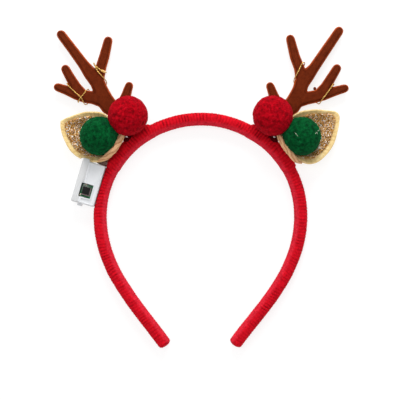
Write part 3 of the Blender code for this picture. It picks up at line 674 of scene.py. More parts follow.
class Finish:
    """The node tree of one material."""

    def __init__(self, name, **values):
        self.material = bpy.data.materials.new(name)
        self.material.use_nodes = True
        self.tree = self.material.node_tree
        self.shader = self.tree.nodes["Principled BSDF"]
        for key, value in values.items():
            socket = self.shader.inputs[key.replace("_", " ")]
            socket.default_value = (*value, 1.0) if isinstance(value, tuple) else value

    def add(self, kind, **values):
        node = self.tree.nodes.new(kind)
        for key, value in values.items():
            setattr(node, key, value)
        return node

    def link(self, source, target):
        """Links a socket, or sets a plain value or colour."""
        if isinstance(source, bpy.types.NodeSocket):
            self.tree.links.new(source, target)
        elif isinstance(source, tuple):
            target.default_value = (*source, 1.0)
        else:
            target.default_value = source

    def position(self):
        return self.add("ShaderNodeTexCoord").outputs["Object"]

    def noise(self, scale, detail=3.0, roughness=0.6):
        node = self.add("ShaderNodeTexNoise")
        inputs = (("Vector", self.position()), ("Scale", scale), ("Detail", detail), ("Roughness", roughness))
        for name, value in inputs:
            self.link(value, node.inputs[name])
        return node.outputs["Fac"]

    def attribute(self, name):
        return self.add("ShaderNodeAttribute", attribute_name=name).outputs["Fac"]

    def island(self):
        return self.add("ShaderNodeNewGeometry").outputs["Random Per Island"]

    def ramp(self, source, *stops, interpolation="LINEAR"):
        node = self.add("ShaderNodeValToRGB")
        ramp = node.color_ramp
        ramp.interpolation = interpolation
        while len(ramp.elements) < len(stops):
            ramp.elements.new(0.5)
        for element, (place, colour) in zip(ramp.elements, stops):
            element.position = place
            element.color = (*colour, 1.0)
        self.link(source, node.inputs["Fac"])
        return node.outputs["Color"]

    def mix(self, share, first, second, mode="MIX"):
        node = self.add("ShaderNodeMix", data_type="RGBA", blend_type=mode)
        for value, place in ((share, 0), (first, 6), (second, 7)):
            self.link(value, node.inputs[place])
        return node.outputs[2]

    def range(self, source, low, high):
        node = self.add("ShaderNodeMapRange")
        self.link(source, node.inputs["Value"])
        node.inputs["To Min"].default_value = low
        node.inputs["To Max"].default_value = high
        return node.outputs["Result"]

    def colour(self, source):
        self.link(source, self.shader.inputs["Base Color"])

    def mottle(self, noise, *stops):
        """Colours that change over patches of noise, which is given as its scale, detail and roughness."""
        self.colour(self.ramp(self.noise(*noise), *stops))

    def roughness(self, source):
        self.link(source, self.shader.inputs["Roughness"])

    def bump(self, source, distance, strength=1.0):
        node = self.add("ShaderNodeBump")
        node.inputs["Strength"].default_value = strength
        node.inputs["Distance"].default_value = distance
        self.link(source, node.inputs["Height"])
        self.link(node.outputs["Normal"], self.shader.inputs["Normal"])


def scaled(colour, share):
    return tuple(channel * share for channel in colour)


def cloth(name, sheen, weight, roughness=0.9, specular=0.05):
    """A cloth finish with a sheen of its own colour."""
    return Finish(
        name,
        Roughness=roughness,
        Specular_IOR_Level=specular,
        Sheen_Weight=weight,
        Sheen_Roughness=0.45,
        Sheen_Tint=sheen,
    )


def fibre_finish(name, dark, colour, light, sheen=0.25, mottle=0.0, scale=600):
    """Fibres whose shades differ from one to the next, and over larger clumps where mottle is given."""
    made = cloth(name, light, sheen)
    shades = made.ramp(made.island(), (0.0, dark), (0.55, colour), (1.0, light))
    if mottle:
        low, high = 1 - mottle, 1 + mottle * 0.3
        clumps = made.ramp(made.noise(scale, 5, 0.65), (0.34, (low, low, low)), (0.60, (high, high, high)))
        shades = made.mix(1.0, shades, clumps, "MULTIPLY")
    made.colour(shades)
    return made.material


def yarn_finish():
    """Yarn cover of the band: painted shade darkens it between its ribs, and a painted sheen makes its inner
    third lighter and pinker.
    """
    made = cloth("yarn_cover", shade(255, 60, 80), 0.15)
    # Stops from the grooves, painted dark as shade, up to the yarn's own red on the ribs
    rib_tones_and_shade = ((0.05, shade(110, 0, 8)), (0.5, shade(178, 8, 24)), (0.95, shade(206, 14, 32)))
    ribs = made.ramp(made.attribute("groove_shade"), *rib_tones_and_shade)
    # Painted sheen: a lighter, pinker red for the inner third
    inner_sheen = made.ramp(made.noise(1400, 3, 0.7), (0.35, shade(190, 26, 42)), (0.65, shade(222, 48, 66)))
    patches = made.ramp(made.noise(420, 4), (0.3, (0.72, 0.70, 0.70)), (0.7, (1.12, 1.10, 1.10)))
    made.colour(made.mix(1.0, made.mix(made.attribute("inner"), ribs, inner_sheen), patches, "MULTIPLY"))
    made.bump(made.noise(2600, 3), 0.00012, 0.7)
    return made.material


def felt_finish(name, dark, colour, light, sheen, scale):
    """Matted fibre: fine clumps in three shades."""
    made = cloth(name, sheen, 0.35)
    made.mottle((scale, 5, 0.65), (0.34, dark), (0.5, colour), (0.68, light))
    made.bump(made.noise(scale * 3.5, 4), 0.00015, 0.9)
    return made.material


def antler_finish():
    """Brown flock: a painted sheen makes the rounded edges lighter and more orange than the flat faces, with
    a slightly darker band just inside them.
    """
    made = cloth("flock", shade(220, 120, 70), 0.12)
    edge = made.ramp(
        made.attribute("edge"),
        (0.0, shade(98, 36, 13)),
        (0.12, shade(76, 22, 5)),
        (0.4, shade(140, 58, 24)),
        (0.8, shade(206, 108, 56)),
    )
    mottle = made.ramp(made.noise(330, 5, 0.7), (0.3, (0.72, 0.68, 0.66)), (0.7, (1.22, 1.22, 1.22)))
    made.colour(made.mix(1.0, edge, mottle, "MULTIPLY"))
    made.bump(made.noise(1800, 4), 0.00015, 0.8)
    return made.material


def ear_finish():
    """Gold-beige felt with a faint weave and painted shade in its creases, and a tanner roll on the band's
    side with painted shade between its strands.
    """
    made = cloth("ear_felt", shade(255, 225, 160), 0.2, 0.85, 0.15)
    felt_shades = ((0.3, shade(214, 184, 122)), (0.5, shade(232, 204, 144)), (0.72, shade(242, 220, 168)))
    # The roll's first stop is dark: painted shade between its strands
    roll_tones_and_shade = ((0.1, shade(104, 58, 34)), (0.5, shade(182, 130, 92)), (0.92, shade(216, 170, 128)))
    felt = made.ramp(made.noise(260, 4), *felt_shades)
    roll = made.ramp(made.attribute("strand"), *roll_tones_and_shade)
    dye_and_shade = made.mix(made.attribute("roll"), felt, roll)
    # Painted shade: darker felt in the creases
    made.colour(made.mix(made.attribute("crease"), dye_and_shade, shade(190, 148, 80)))
    weave = made.add("ShaderNodeTexWave")
    weave.inputs["Scale"].default_value = 900.0
    weave.inputs["Distortion"].default_value = 2.0
    made.link(made.position(), weave.inputs["Vector"])
    made.bump(made.mix(0.5, made.noise(1500, 3), weave.outputs["Color"]), 0.0001, 0.7)
    return made.material


def glitter_ground_finish():
    made = Finish("glitter_ground", Metallic=0.15, Roughness=0.6)
    shades = ((0.35, shade(100, 66, 18)), (0.5, shade(166, 116, 46)), (0.65, shade(206, 156, 80)))
    made.mottle((900, 4, 0.7), *shades)
    made.bump(made.noise(1500, 3), 0.0003)
    return made.material


def flake_finish():
    """Glitter flakes: each one dark bronze, gold, tan or nearly white."""
    made = Finish("glitter_flakes", Metallic=0.25, Roughness=0.38)
    made.colour(
        made.ramp(
            made.island(),
            (0.00, shade(96, 58, 8)),
            (0.20, shade(176, 112, 28)),
            (0.44, shade(206, 148, 60)),
            (0.66, shade(222, 176, 108)),
            (0.82, shade(246, 214, 182)),
            (0.89, shade(255, 252, 244)),
            interpolation="CONSTANT",
        )
    )
    return made.material


def plastic_finish(name, colour, roughness, scale=300, amount=0.04, specular=0.5):
    """Moulded plastic with the faintest unevenness in its colour and gloss."""
    made = Finish(name, Specular_IOR_Level=specular)
    made.mottle((scale, 3), (0.3, scaled(colour, 1 - amount)), (0.7, colour))
    made.roughness(made.range(made.noise(scale * 2, 3), roughness * 0.85, roughness * 1.2))
    made.bump(made.noise(scale * 8, 2), 0.00002, 0.3)
    return made.material


def board_finish():
    """Green lacquer with painted shade that darkens it towards the board's outer upper corner."""
    made = Finish("board_lacquer", Roughness=0.3)
    made.colour(made.mix(made.attribute("corner"), shade(8, 112, 62), shade(4, 58, 38)))
    made.bump(made.noise(1600, 2), 0.00003, 0.5)
    return made.material


def metal_finish(name, colour, roughness, metallic):
    made = Finish(name, Metallic=metallic)
    made.mottle((1200, 3), (0.3, scaled(colour, 0.72)), (0.7, colour))
    made.roughness(made.range(made.noise(2500, 2), roughness * 0.8, roughness * 1.25))
    made.bump(made.noise(3000, 2), 0.00003, 0.4)
    return made.material


def clear_finish(name, dark, light, roughness, clearness):
    """Clouded glue or clear resin."""
    made = Finish(name, Roughness=roughness, Transmission_Weight=clearness, IOR=1.48)
    made.mottle((450, 3), (0.3, dark), (0.7, light))
    made.bump(made.noise(700, 3), 0.00015, 0.6)
    return made.material


def thread_finish(name, sheen, dark, light, weight=0.2, scale=900):
    """Yarn, thread or the dark lump of painted shadow, in patches of two shades."""
    made = cloth(name, sheen, weight)
    made.mottle((scale, 3), (0.35, dark), (0.65, light))
    return made.material


# Band


def crown_length():
    return CROWN_RADIUS * CROWN_ANGLE


def side_length():
    return SIDE_RADIUS * (SIDE_END_ANGLE - CROWN_ANGLE)


def band_stations(distance):
    """Centreline points, outward directions and turns at distances along the band from the crown's middle."""
    side = np.where(distance >= 0, 1.0, -1.0)
    run = np.abs(distance)
    past = run - crown_length()
    on_crown = past <= 0
    side_turn = np.minimum(CROWN_ANGLE + past / SIDE_RADIUS, SIDE_END_ANGLE)
    turn = np.where(on_crown, run / CROWN_RADIUS, side_turn)
    radius = np.where(on_crown, CROWN_RADIUS, SIDE_RADIUS)
    shift = np.where(on_crown, 0.0, CROWN_RADIUS - SIDE_RADIUS)
    leg = np.maximum(0.0, past - side_length())
    x = shift * math.sin(CROWN_ANGLE) + radius * np.sin(turn) + leg * np.cos(turn)
    y = shift * math.cos(CROWN_ANGLE) + radius * np.cos(turn) - leg * np.sin(turn)
    points = np.stack([side * x, y, np.full_like(x, BAND_MIDDLE)], axis=1)
    outward = np.stack([side * np.sin(turn), np.cos(turn), np.zeros_like(x)], axis=1)
    return points, outward, turn


def padding_limit(distance, points, outward):
    """How far the padding may stand out: the battery box presses it flat."""
    facing = np.array(polar(LEFT, BOX_ANGLE, 1.0))
    toward = outward @ facing
    pressed = (toward > math.cos(BOX_PRESS_SPAN)) & (distance < 0)
    room = BAND_OUTSIDE - BOX_PRESS - points @ facing
    return np.where(pressed, room / np.where(pressed, toward, 1.0), BAND_WIDTH)


def build_band():
    """The yarn cover: rows of stitches round the hoop, smoother on the inner third, which a painted sheen
    makes lighter.
    """
    rng = np.random.default_rng(5)
    half = crown_length() + side_length() + LEG_LENGTH
    distance = np.linspace(-half, half, BAND_RINGS)
    points, outward, turn = band_stations(distance)
    left_sway, right_sway = (smooth_rows(BAND_SWAY[side], side * distance) for side in (LEFT, RIGHT))
    points += outward * np.where(distance < 0, left_sway, right_sway)[:, None]
    along = distance[:, None]
    angle = (np.arange(BAND_SIDES) * 2 * np.pi / BAND_SIDES)[None, :]
    across, up = np.cos(angle), np.sin(angle)
    inner = smooth_step((-across - 0.15) / 0.45) * smooth_step((up + 0.5) / 0.4)
    wobble = 0.26 * wave_noise(rng, along / 0.005, angle * 1.5, scale=0.8)
    slant = 0.35 * smooth_step((-across - 0.1) / 0.7)
    phase = along / RIB_PITCH + wobble + slant
    rib = np.abs(np.sin(np.pi * phase)) ** 0.7
    number = np.floor(phase)
    stitch = np.abs(np.sin(angle * STITCHES_ROUND + number * 2.4 + 0.7 * np.sin(number * 5.1)))
    fine = wave_noise(rng, along / 0.0006, angle * 6, waves=7)
    firm = np.clip(0.62 + 0.30 * wave_noise(rng, along / 0.0022, angle * 2.4, waves=7), 0.1, 1.1)
    relief = RIB_RELIEF * (1 - (1 - rib) * firm * (1 - 0.75 * inner))
    relief += STITCH_RELIEF * stitch * (0.3 + 0.7 * rib) + FINE_RELIEF * fine
    relief += LUMP_RELIEF * wave_noise(rng, along / 0.010, angle * 1.5)
    begun = smooth_step((turn - SHOULDER_START) / SHOULDER_FADE)
    shoulder = begun * smooth_step((SHOULDER_END - turn) / SHOULDER_FADE)
    cuff = begun * smooth_step((CUFF_END - turn) / (SHOULDER_FADE * 0.4))
    end = np.clip((np.abs(distance) - (half - TIP_ROUNDING)) / TIP_ROUNDING, 0, 1)[:, None]
    shrink = np.sqrt(np.maximum(0.0, 1 - end**TIP_SQUARENESS))
    square = (np.abs(across) ** SQUARENESS + np.abs(up) ** SQUARENESS) ** (-1 / SQUARENESS)
    extra = (SHOULDER_EXTRA * shoulder)[:, None] + (CUFF_PROUD * cuff)[:, None] * smooth_step(across * 1.5)
    half_width = (BAND_WIDTH / 2 + COVER_FULLNESS - RIB_RELIEF + extra + relief) * square * across * shrink
    half_depth = (BAND_DEPTH / 2 - RIB_RELIEF + relief * (up > -0.6)) * square * up * shrink
    half_width = np.minimum(half_width, padding_limit(distance, points, outward)[:, None] - COVER_CLEARANCE)
    places = points[:, None, :] + outward[:, None, :] * half_width[:, :, None]
    places[:, :, 2] += half_depth
    faces = grid_faces(BAND_RINGS, BAND_SIDES)
    made = mesh_object("band_cover", places.reshape(-1, 3), faces, yarn_finish())
    # groove_shade: low in the grooves between ribs and stitches, where the yarn is painted dark as shade
    add_attribute(made, "groove_shade", np.clip(1.0 - (1.05 - 0.75 * rib - 0.30 * stitch * rib) * firm, 0, 1))
    # inner: where the painted sheen lightens the yarn
    add_attribute(made, "inner", 0.85 * inner + np.zeros_like(rib))
    close_ends(made, BAND_RINGS, BAND_SIDES)
    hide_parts("band")
    piece(made)
    fibre = fibre_finish("yarn_fibre", shade(120, 0, 12), shade(190, 14, 32), shade(226, 50, 70))
    piece(nap("band_fuzz", made.data, *BAND_NAP, 6, fibre, above_table))


def above_table(places, facing):
    """More fibre where it shows than where the headband lies on the table."""
    return 0.25 + (places[:, 2] > 0.002)


# Antlers


def build_antler(side, flock, fibre, edge_sheen_fibre):
    """The antler's solid, its edges rounded and its forks filled in softly, with short flock on it."""
    name = "antler_" + SIDE_NAMES[side]
    made = link_object(name + "_flocked", NODES[name].data.copy())
    remesh = made.modifiers.new("even", "REMESH")
    remesh.mode = "VOXEL"
    remesh.voxel_size = ANTLER_MESH_STEP
    soften = made.modifiers.new("soft", "SMOOTH")
    soften.factor = 0.6
    soften.iterations = ANTLER_SOFTENINGS
    fill = made.modifiers.new("full", "DISPLACE")
    fill.strength = ANTLER_FULLNESS
    fill.mid_level = 0.0
    apply_modifiers(made)
    made.data.materials.clear()
    made.data.materials.append(flock)
    made.data.shade_smooth()
    # edge: 1 where the surface turns edge-on, for the painted sheen on the rounded edges
    add_attribute(made, "edge", 1 - np.abs(mesh_normals(made.data)[:, 2]))
    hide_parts(name)
    piece(made)
    piece(nap(name + "_fuzz", made.data, *ANTLER_NAP, 20 + side, fibre, on_faces))
    piece(nap(name + "_edge_fuzz", made.data, *EDGE_NAP, 24 + side, edge_sheen_fibre, on_edges))


def build_nub(flock):
    """The small tuft of flock on the right antler's lower branch."""
    place = antler_place(RIGHT, *NUB_PLACE, 0)
    blob("antler_nub", place, (NUB_RADIUS, NUB_RADIUS, NUB_RADIUS), flock, 71, 0.2)


def on_faces(places, facing):
    return np.abs(facing[:, 2]) > 0.6


def on_edges(places, facing):
    return np.abs(facing[:, 2]) < 0.6


# Pompons


def pompon_reach(node, middle, directions):
    """How far the solid's own surface stands out along directions, smoothed between its corners."""
    offsets = mesh_points(NODES[node].data) - np.array(middle)
    radii = np.linalg.norm(offsets, axis=1)
    corners = offsets / radii[:, None]
    reach = np.empty(len(directions))
    for start in range(0, len(directions), 4000):
        part = directions[start : start + 4000]
        weights = np.exp((part @ corners.T - 1) * 60)
        reach[start : start + 4000] = (weights * radii).sum(1) / weights.sum(1)
    return reach


def build_pompon(node, middle, radius, fullness, felt, fibre, light, seed, slot):
    """A dense ball of trimmed felt fibre, pressed where its neighbours press it."""
    rng = np.random.default_rng(seed)
    mesh, points = ball_mesh(node + "_ball", POMPON_DIVISIONS)
    directions = unit(points)
    x, y, z = directions.T
    lumps = wave_noise(rng, x, y, z, waves=14, scale=11)
    clumps = wave_noise(rng, x, y, z, waves=24, scale=34)
    reach = pompon_reach(node, middle, directions)
    pressed = smooth_step((radius - PRESS_START - reach) / PRESS_FADE)
    full = radius + fullness - POMPON_INSET + LUMP_SIZE * lumps - CLUMP_DEPTH * np.abs(clumps)
    reach = full * (1 - pressed) + np.minimum(full, reach + fullness) * pressed
    made = ball_object(mesh, np.array(middle) + directions * reach[:, None], felt)
    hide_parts(node)
    piece(made)
    piece(nap(node + "_fuzz", mesh, *POMPON_NAP, seed + 1, fibre))
    piece(strands(node + "_strands", mesh, *POMPON_STRANDS, seed + 2, light))


def pompon_finishes(colour, word):
    """The ball's felt, its fibres and its long strands."""
    felt = POMPON_FELTS[colour]
    ball, fibre, strand = ([shade(*tone) for tone in felt[part]] for part in ("ball", "fibre", "strand"))
    scale = felt["scale"]
    return (
        felt_finish(f"{colour}_ball_{word}", *ball, scale),
        fibre_finish(f"{colour}_fibre_{word}", *fibre, felt["fibre_sheen"], felt["fibre_mottle"], scale),
        fibre_finish(f"{colour}_strand_{word}", *strand, STRAND_SHEEN, STRAND_MOTTLE),
    )


def build_pompons(side):
    """The red pompon above the band and the green one in the ear."""
    word = SIDE_NAMES[side]
    red = (RED_RADIUS, RED_FULLNESS[side], *pompon_finishes("red", word), 40 + side, "red_felt")
    build_pompon("pompon_red_" + word, red_middle(side), *red)
    green = (GREEN_RADIUS, GREEN_FULLNESS[side], *pompon_finishes("green", word), 50 + side, "green_felt")
    middle = green_middle(side) + polar(side, GREEN_ANGLE, GREEN_SHIFT[side])
    build_pompon("pompon_green_" + word, middle, *green)


# Ears


def rim_curve(side, count):
    """A smooth closed curve through the rows of a rim's table: out, up, rise, steepness and roll."""
    rows = np.array(RIMS[side])
    angle = np.radians(rows[:, 0])
    turned, fuller = np.array(EAR_FULLNESS[side]).T
    fullness = np.interp((rows[:, 0] + 180) % 360 - 180, turned, fuller, left=0.0, right=0.0)
    reach = GREEN_RADIUS + rows[:, 1] * EAR_LENGTH + fullness
    across, up = side * np.cos(angle) * reach, np.sin(angle) * reach
    table = np.stack([across, up, rows[:, 2] * EAR_RISE, rows[:, 3], rows[:, 4]], axis=1)
    step = np.arange(count) * len(rows) / count
    index = step.astype(int)
    around = [table[(index + offset) % len(rows)] for offset in (-1, 0, 1, 2)]
    return curve_place(*around, (step - index)[:, None])


def box_axes():
    """Middle of the battery box's back, its direction along and its direction across, away from the band."""
    outward = polar(LEFT, BOX_ANGLE, 1.0)
    along = Vector((outward.y, -outward.x, 0))
    middle = outward * (BAND_OUTSIDE - BOX_PRESS + GAP + BOX_WIDTH / 2) + along * BOX_SLIDE
    return middle, along, outward


def keep_ear_clear(side, places, stack):
    """Keeps the ear's felt below the red pompon, above the battery box's end and outside the band."""
    middle = red_middle(side)
    reach = RED_RADIUS + GAP + stack
    flat = np.hypot(places[..., 0] - middle.x, places[..., 1] - middle.y)
    roof = middle.z - np.sqrt(np.maximum(reach**2 - flat**2, 0))
    places[..., 2] = np.where(flat < reach, np.minimum(places[..., 2], roof), places[..., 2])
    if side == LEFT:
        centre, along, outward = (np.array(part) for part in box_axes())
        offset = places - centre
        by_lid = offset @ outward > BOX_WIDTH / 2 - LID_WIDTH
        end = BOX_LENGTH / 2 + LID_OVERHANG * by_lid + GAP / 3
        near = np.abs(offset @ outward) < BOX_WIDTH / 2 + BOX_EAR_CLEARANCE
        places = places + along * (np.maximum(end - offset @ along, 0) * near)[..., None]
    height = np.clip((places[..., 2] - BAND_MIDDLE) / (BAND_DEPTH / 2 + GAP), -1, 1)
    half_width = (SHOULDER_OUTSIDE - CROWN_RADIUS + GAP) * np.minimum(1, 1.08 * np.sqrt(1 - height**2))
    distance = np.hypot(places[..., 0], places[..., 1])
    grow = np.where(np.abs(height) < 1, np.maximum(1, (CROWN_RADIUS + half_width) / distance), 1)
    places[..., :2] *= grow[..., None]
    return places


def ear_face(side, rim, level, layer):
    """Places of the ear at levels from 0 in the middle to 1 at the rim. They lie a layer above the felt's
    inner face, or on its outer face where the layer is None."""
    flat, rise, steep, roll = rim[:, :2], rim[:, 2], rim[:, 3], rim[:, 4]
    reach = np.linalg.norm(flat, axis=1)
    wall = EAR_WALL + (ROLL_WIDTH - EAR_WALL) * roll * smooth_step((level - ROLL_START) / (1 - ROLL_START))
    places = np.empty((*level.shape, 3))
    places[..., :2] = np.array(green_middle(side))[:2] + flat * level[..., None]
    places[..., 2] = EAR_FLOOR + rise * level**steep
    places = keep_ear_clear(side, places, wall + GAP + LINING_WALL)
    if layer is None:
        return places
    slope = rise * steep * level ** (steep - 1) / reach
    lean = -(flat / reach[:, None]) * slope[..., None]
    inward = np.concatenate([lean, np.ones((*level.shape, 1))], axis=-1)
    return places + unit(inward) * (wall + layer)[..., None]


def rim_length(rim):
    """Distance along the rim at each of its points, and all round."""
    steps = np.linalg.norm(np.roll(rim[:, :2], -1, axis=0) - rim[:, :2], axis=1)
    return np.concatenate([[0.0], np.cumsum(steps)[:-1]]), steps.sum()


def crease_depth(rim, seed):
    """How deep the creases across the rim are at each point of it, from 0 to 1."""
    rng = np.random.default_rng(seed)
    run, total = rim_length(rim)
    depth = np.zeros(len(rim))
    place = 0.0
    while place < total - 0.002:
        away = np.abs(run - place)
        away = np.minimum(away, total - away)
        depth = np.maximum(depth, rng.uniform(0.2, 1.0) * np.exp(-((away / CREASE_WIDTH) ** 2)))
        place += rng.uniform(*CREASE_STEPS)
    return depth * (1 - rim[:, 4])


def build_ear_shell(side, felt, fibre):
    """The felt cup: a rounded rim with creases across it, and a twisted roll on the band's side."""
    rim = rim_curve(side, SHELL_COLUMNS)
    run, _ = rim_length(rim)
    reach = np.linalg.norm(rim[:, :2], axis=1)
    rim_wall = EAR_WALL + (ROLL_WIDTH - EAR_WALL) * rim[:, 4]
    slope = rim[:, 2] * rim[:, 3] / reach
    inset = 1 - rim_wall / 2 / (reach * np.sqrt(1 + slope**2))
    crease = crease_depth(rim, 70 + side)
    share = (np.linspace(0.03, 1, SHELL_ROWS) ** 0.7)[:, None]
    level = share * inset
    outside = ear_face(side, rim, level, None)
    inside = ear_face(side, rim, level, 0.0)
    near_rim = smooth_step((share - 0.72) / 0.2)[..., None]
    sink = (crease * CREASE_DEPTH)[None, :, None] * near_rim
    facing = unit(inside - outside)
    inside = inside - facing * sink
    outside = outside + facing * sink * 0.2
    middle = (outside[-1] + inside[-1]) / 2
    half = (outside[-1] - inside[-1]) / 2
    ahead = unit(outside[-1] - outside[-2]) * np.linalg.norm(half, axis=1)[:, None]
    ahead *= (1 - 0.15 * crease)[:, None]
    turns = np.linspace(0, np.pi, EDGE_ROWS + 2)[1:-1]
    arc = np.stack([middle + half * math.cos(t) + ahead * math.sin(t) for t in turns])
    places = np.concatenate([outside, arc, inside[::-1]])
    rows = len(places)
    # The roll is made of long strands that turn slowly round it.
    round_rim = np.roll(places, -1, axis=1) - np.roll(places, 1, axis=1)
    normal = unit(np.cross(np.gradient(places, axis=0), round_rim))
    spread = run_along(places.mean(axis=1))
    lead = run / SHELL_STRAND_LAY + 0.5 * np.sin(run / 0.0019)
    twist = (spread / SHELL_STRAND_WIDTH)[:, None] + lead[None, :]
    ridge = np.abs(np.sin(np.pi * twist)) ** 0.7
    in_roll = np.concatenate([share[:, 0], np.ones(EDGE_ROWS), share[::-1, 0]])
    roll = rim[:, 4][None, :] * smooth_step((in_roll[:, None] - ROLL_START) / 0.12)
    inner_side = 1.0 if (normal[-1, 0, 2] > 0) else -1.0
    places += normal * inner_side * (roll * SHELL_STRAND_RELIEF * (ridge - 0.75))[..., None]
    name = "ear_shell_" + SIDE_NAMES[side]
    made = mesh_object(name + "_felt", places.reshape(-1, 3), grid_faces(rows, SHELL_COLUMNS), felt)
    on_face = near_rim[..., 0] * crease
    # crease_shading: where the creases are painted darker as shade
    crease_shading = np.concatenate([on_face * 0.4, np.tile(crease, (EDGE_ROWS, 1)), on_face[::-1]])
    add_attribute(made, "roll", roll)
    # strand: low between the roll's strands, where the felt is painted darker as shade
    add_attribute(made, "strand", ridge + np.zeros_like(roll))
    add_attribute(made, "crease", crease_shading * 0.55)
    close_ends(made, rows, SHELL_COLUMNS)
    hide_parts(name)
    piece(made)
    piece(nap(name + "_fuzz", made.data, *EAR_NAP, 80 + side, fibre))


def build_roll(side, felt, fibre):
    """The roll of twisted felt that lies along the band, over the green pompon's edge."""
    rows = np.array(ROLL_PATHS[side])
    ends = [polar(side, math.radians(turn), distance, height) for turn, distance, height, _ in rows]
    path = np.array([list(place) for place in smooth_route(ends, ROLL_STEP)])
    ahead = unit(np.gradient(path, axis=0))
    across = unit(np.cross(ahead, (0.0, 0.0, 1.0)))
    raised = np.cross(across, ahead)
    share = np.linspace(0, len(rows) - 1, len(path))
    half = np.interp(share, np.arange(len(rows)), rows[:, 3])
    run = run_along(path)
    angle = (np.arange(ROLL_SIDES) * 2 * np.pi / ROLL_SIDES)[None, :]
    lead = run / ROLL_LAY + 0.12 * np.sin(run / 0.0011)
    twist = angle * ROLL_STRANDS / (2 * np.pi) + lead[:, None]
    strand = np.abs(np.sin(np.pi * twist)) ** 0.5
    fine = np.abs(np.sin(np.pi * (twist * 3 + (run / 0.013)[:, None])))
    radius = half[:, None] * (0.74 + 0.26 * strand + 0.07 * fine)
    wide = across[:, None, :] * (np.cos(angle) * radius)[..., None]
    high = raised[:, None, :] * (np.sin(angle) * radius * ROLL_FLATNESS)[..., None]
    places = path[:, None, :] + wide + high
    name = "ear_roll_" + SIDE_NAMES[side]
    made = mesh_object(name, places.reshape(-1, 3), grid_faces(len(path), ROLL_SIDES), felt)
    add_attribute(made, "roll", np.ones(places.shape[:2]))
    # strand: low between the strands, where the felt is painted darker as shade
    add_attribute(made, "strand", 0.75 * strand + 0.25 * fine)
    add_attribute(made, "crease", np.zeros(places.shape[:2]))
    close_ends(made, len(path), ROLL_SIDES)
    piece(made)
    piece(nap(name + "_fuzz", made.data, *ROLL_NAP, 85 + side, fibre))


def build_ear_lining(side, ground, flakes):
    """The glitter fabric in the cup, and its flakes."""
    rng = np.random.default_rng(90 + side)
    rim = rim_curve(side, LINING_COLUMNS)
    reach = np.linalg.norm(rim[:, :2], axis=1)
    share = (np.linspace(0.03, 1, LINING_ROWS) ** 0.8)[:, None]
    level = share * (1 - EAR_HEM / reach)
    outside = ear_face(side, rim, level, GAP)
    inside = ear_face(side, rim, level, GAP + LINING_WALL)
    bumps = wave_noise(rng, inside[..., 0] * 1600, inside[..., 1] * 1600, inside[..., 2] * 1600, waves=12)
    inside[..., 2] += LINING_BUMPS * bumps
    places = np.concatenate([outside, inside[::-1]])
    rows = len(places)
    name = "ear_lining_" + SIDE_NAMES[side]
    made = mesh_object(name + "_fabric", places.reshape(-1, 3), grid_faces(rows, LINING_COLUMNS), ground)
    close_ends(made, rows, LINING_COLUMNS)
    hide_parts(name)
    piece(made)
    piece(build_flakes(side, name + "_glitter", made.data, flakes))


def build_flakes(side, name, mesh, finish):
    """Glitter: small strips that lie every way on the lining where it shows."""
    rng = np.random.default_rng(95 + side)
    middle = np.array(green_middle(side))

    def shows(places, facing):
        away = np.hypot(places[:, 0] - middle[0], places[:, 1] - middle[1])
        return (facing[:, 2] > 0.15) * (away > 0.6 * GREEN_RADIUS) + 1e-9

    places, facing = scatter(mesh, FLAKE_COUNT, rng, shows)
    tilted = unit(facing + tangents(facing, rng) * rng.random((FLAKE_COUNT, 1)) * 0.7)
    ahead = tangents(tilted, rng)
    across = np.cross(tilted, ahead)
    column = (FLAKE_COUNT, 1)
    long = rng.random(column) < LONG_SHARE
    length = np.where(long, rng.uniform(*LONG_FLAKE, column), rng.uniform(*SHORT_FLAKE, column))
    width = rng.uniform(*FLAKE_WIDTH, column)
    centre = places + facing * rng.uniform(*FLAKE_HEIGHT, column)
    signs = ((-1, -1), (1, -1), (1, 1), (-1, 1))
    corners = [centre + ahead * length * u / 2 + across * width * v / 2 for u, v in signs]
    points = np.stack(corners, axis=1).reshape(-1, 3)
    return mesh_object(name, points, np.arange(FLAKE_COUNT * 4).reshape(-1, 4), finish, smooth=False)


# Battery box


def box_place(across, along_share, height):
    """A place in the battery box: across towards the band, along towards the crown."""
    middle, along, outward = box_axes()
    return middle - outward * across + along * along_share + Vector((0, 0, height))


def block(name, across, along, heights, finish, rounding, segments=3):
    """A block with rounded edges, between pairs of limits in the battery box's own directions."""
    bm = bmesh.new()
    corners = []
    for height in heights:
        for x, y in ((0, 0), (1, 0), (1, 1), (0, 1)):
            corners.append(bm.verts.new(box_place(across[x], along[y], height)))
    for face in ((0, 1, 2, 3), (4, 5, 6, 7), (0, 1, 5, 4), (1, 2, 6, 5), (2, 3, 7, 6), (3, 0, 4, 7)):
        bm.faces.new([corners[i] for i in face])
    bmesh.ops.recalc_face_normals(bm, faces=bm.faces)
    edges = list(bm.edges)
    bmesh.ops.bevel(
        bm, geom=edges, offset=rounding, segments=segments, profile=0.5, affect="EDGES", clamp_overlap=True
    )
    mesh = bpy.data.meshes.new(name)
    bm.to_mesh(mesh)
    bm.free()
    mesh.materials.append(finish)
    mesh.shade_smooth()
    return link_object(name, mesh)


def carve(made, other, operation):
    """Cuts another block out of a piece, or unites it with the piece, and removes the other block."""
    modifier = made.modifiers.new("carve", "BOOLEAN")
    modifier.operation = operation
    modifier.object = other
    apply_modifiers(made)
    bpy.data.objects.remove(other, do_unlink=True)


def finish_edges(made):
    """Breaks the sharp edges that the cuts leave, so that they catch the light."""
    bevel = made.modifiers.new("edges", "BEVEL")
    bevel.width = EDGE_BREAK
    bevel.segments = 2
    bevel.limit_method = "ANGLE"
    bevel.angle_limit = math.radians(40)
    apply_modifiers(made)
    made.data.shade_smooth()
    made.data.set_sharp_from_angle(angle=math.radians(50))


def window_block(margin, depth, rounding, finish):
    """A block over the window, wider than it by a margin on each side."""
    across = WINDOW_WIDTH / 2 + margin
    along = WINDOW_LENGTH / 2 + margin
    ends = (-WINDOW_DROP - along, -WINDOW_DROP + along)
    heights = (BOX_DEPTH - depth, BOX_DEPTH + 4 * LID_PROUD)
    return block("window", (-across, across), ends, heights, finish, rounding)


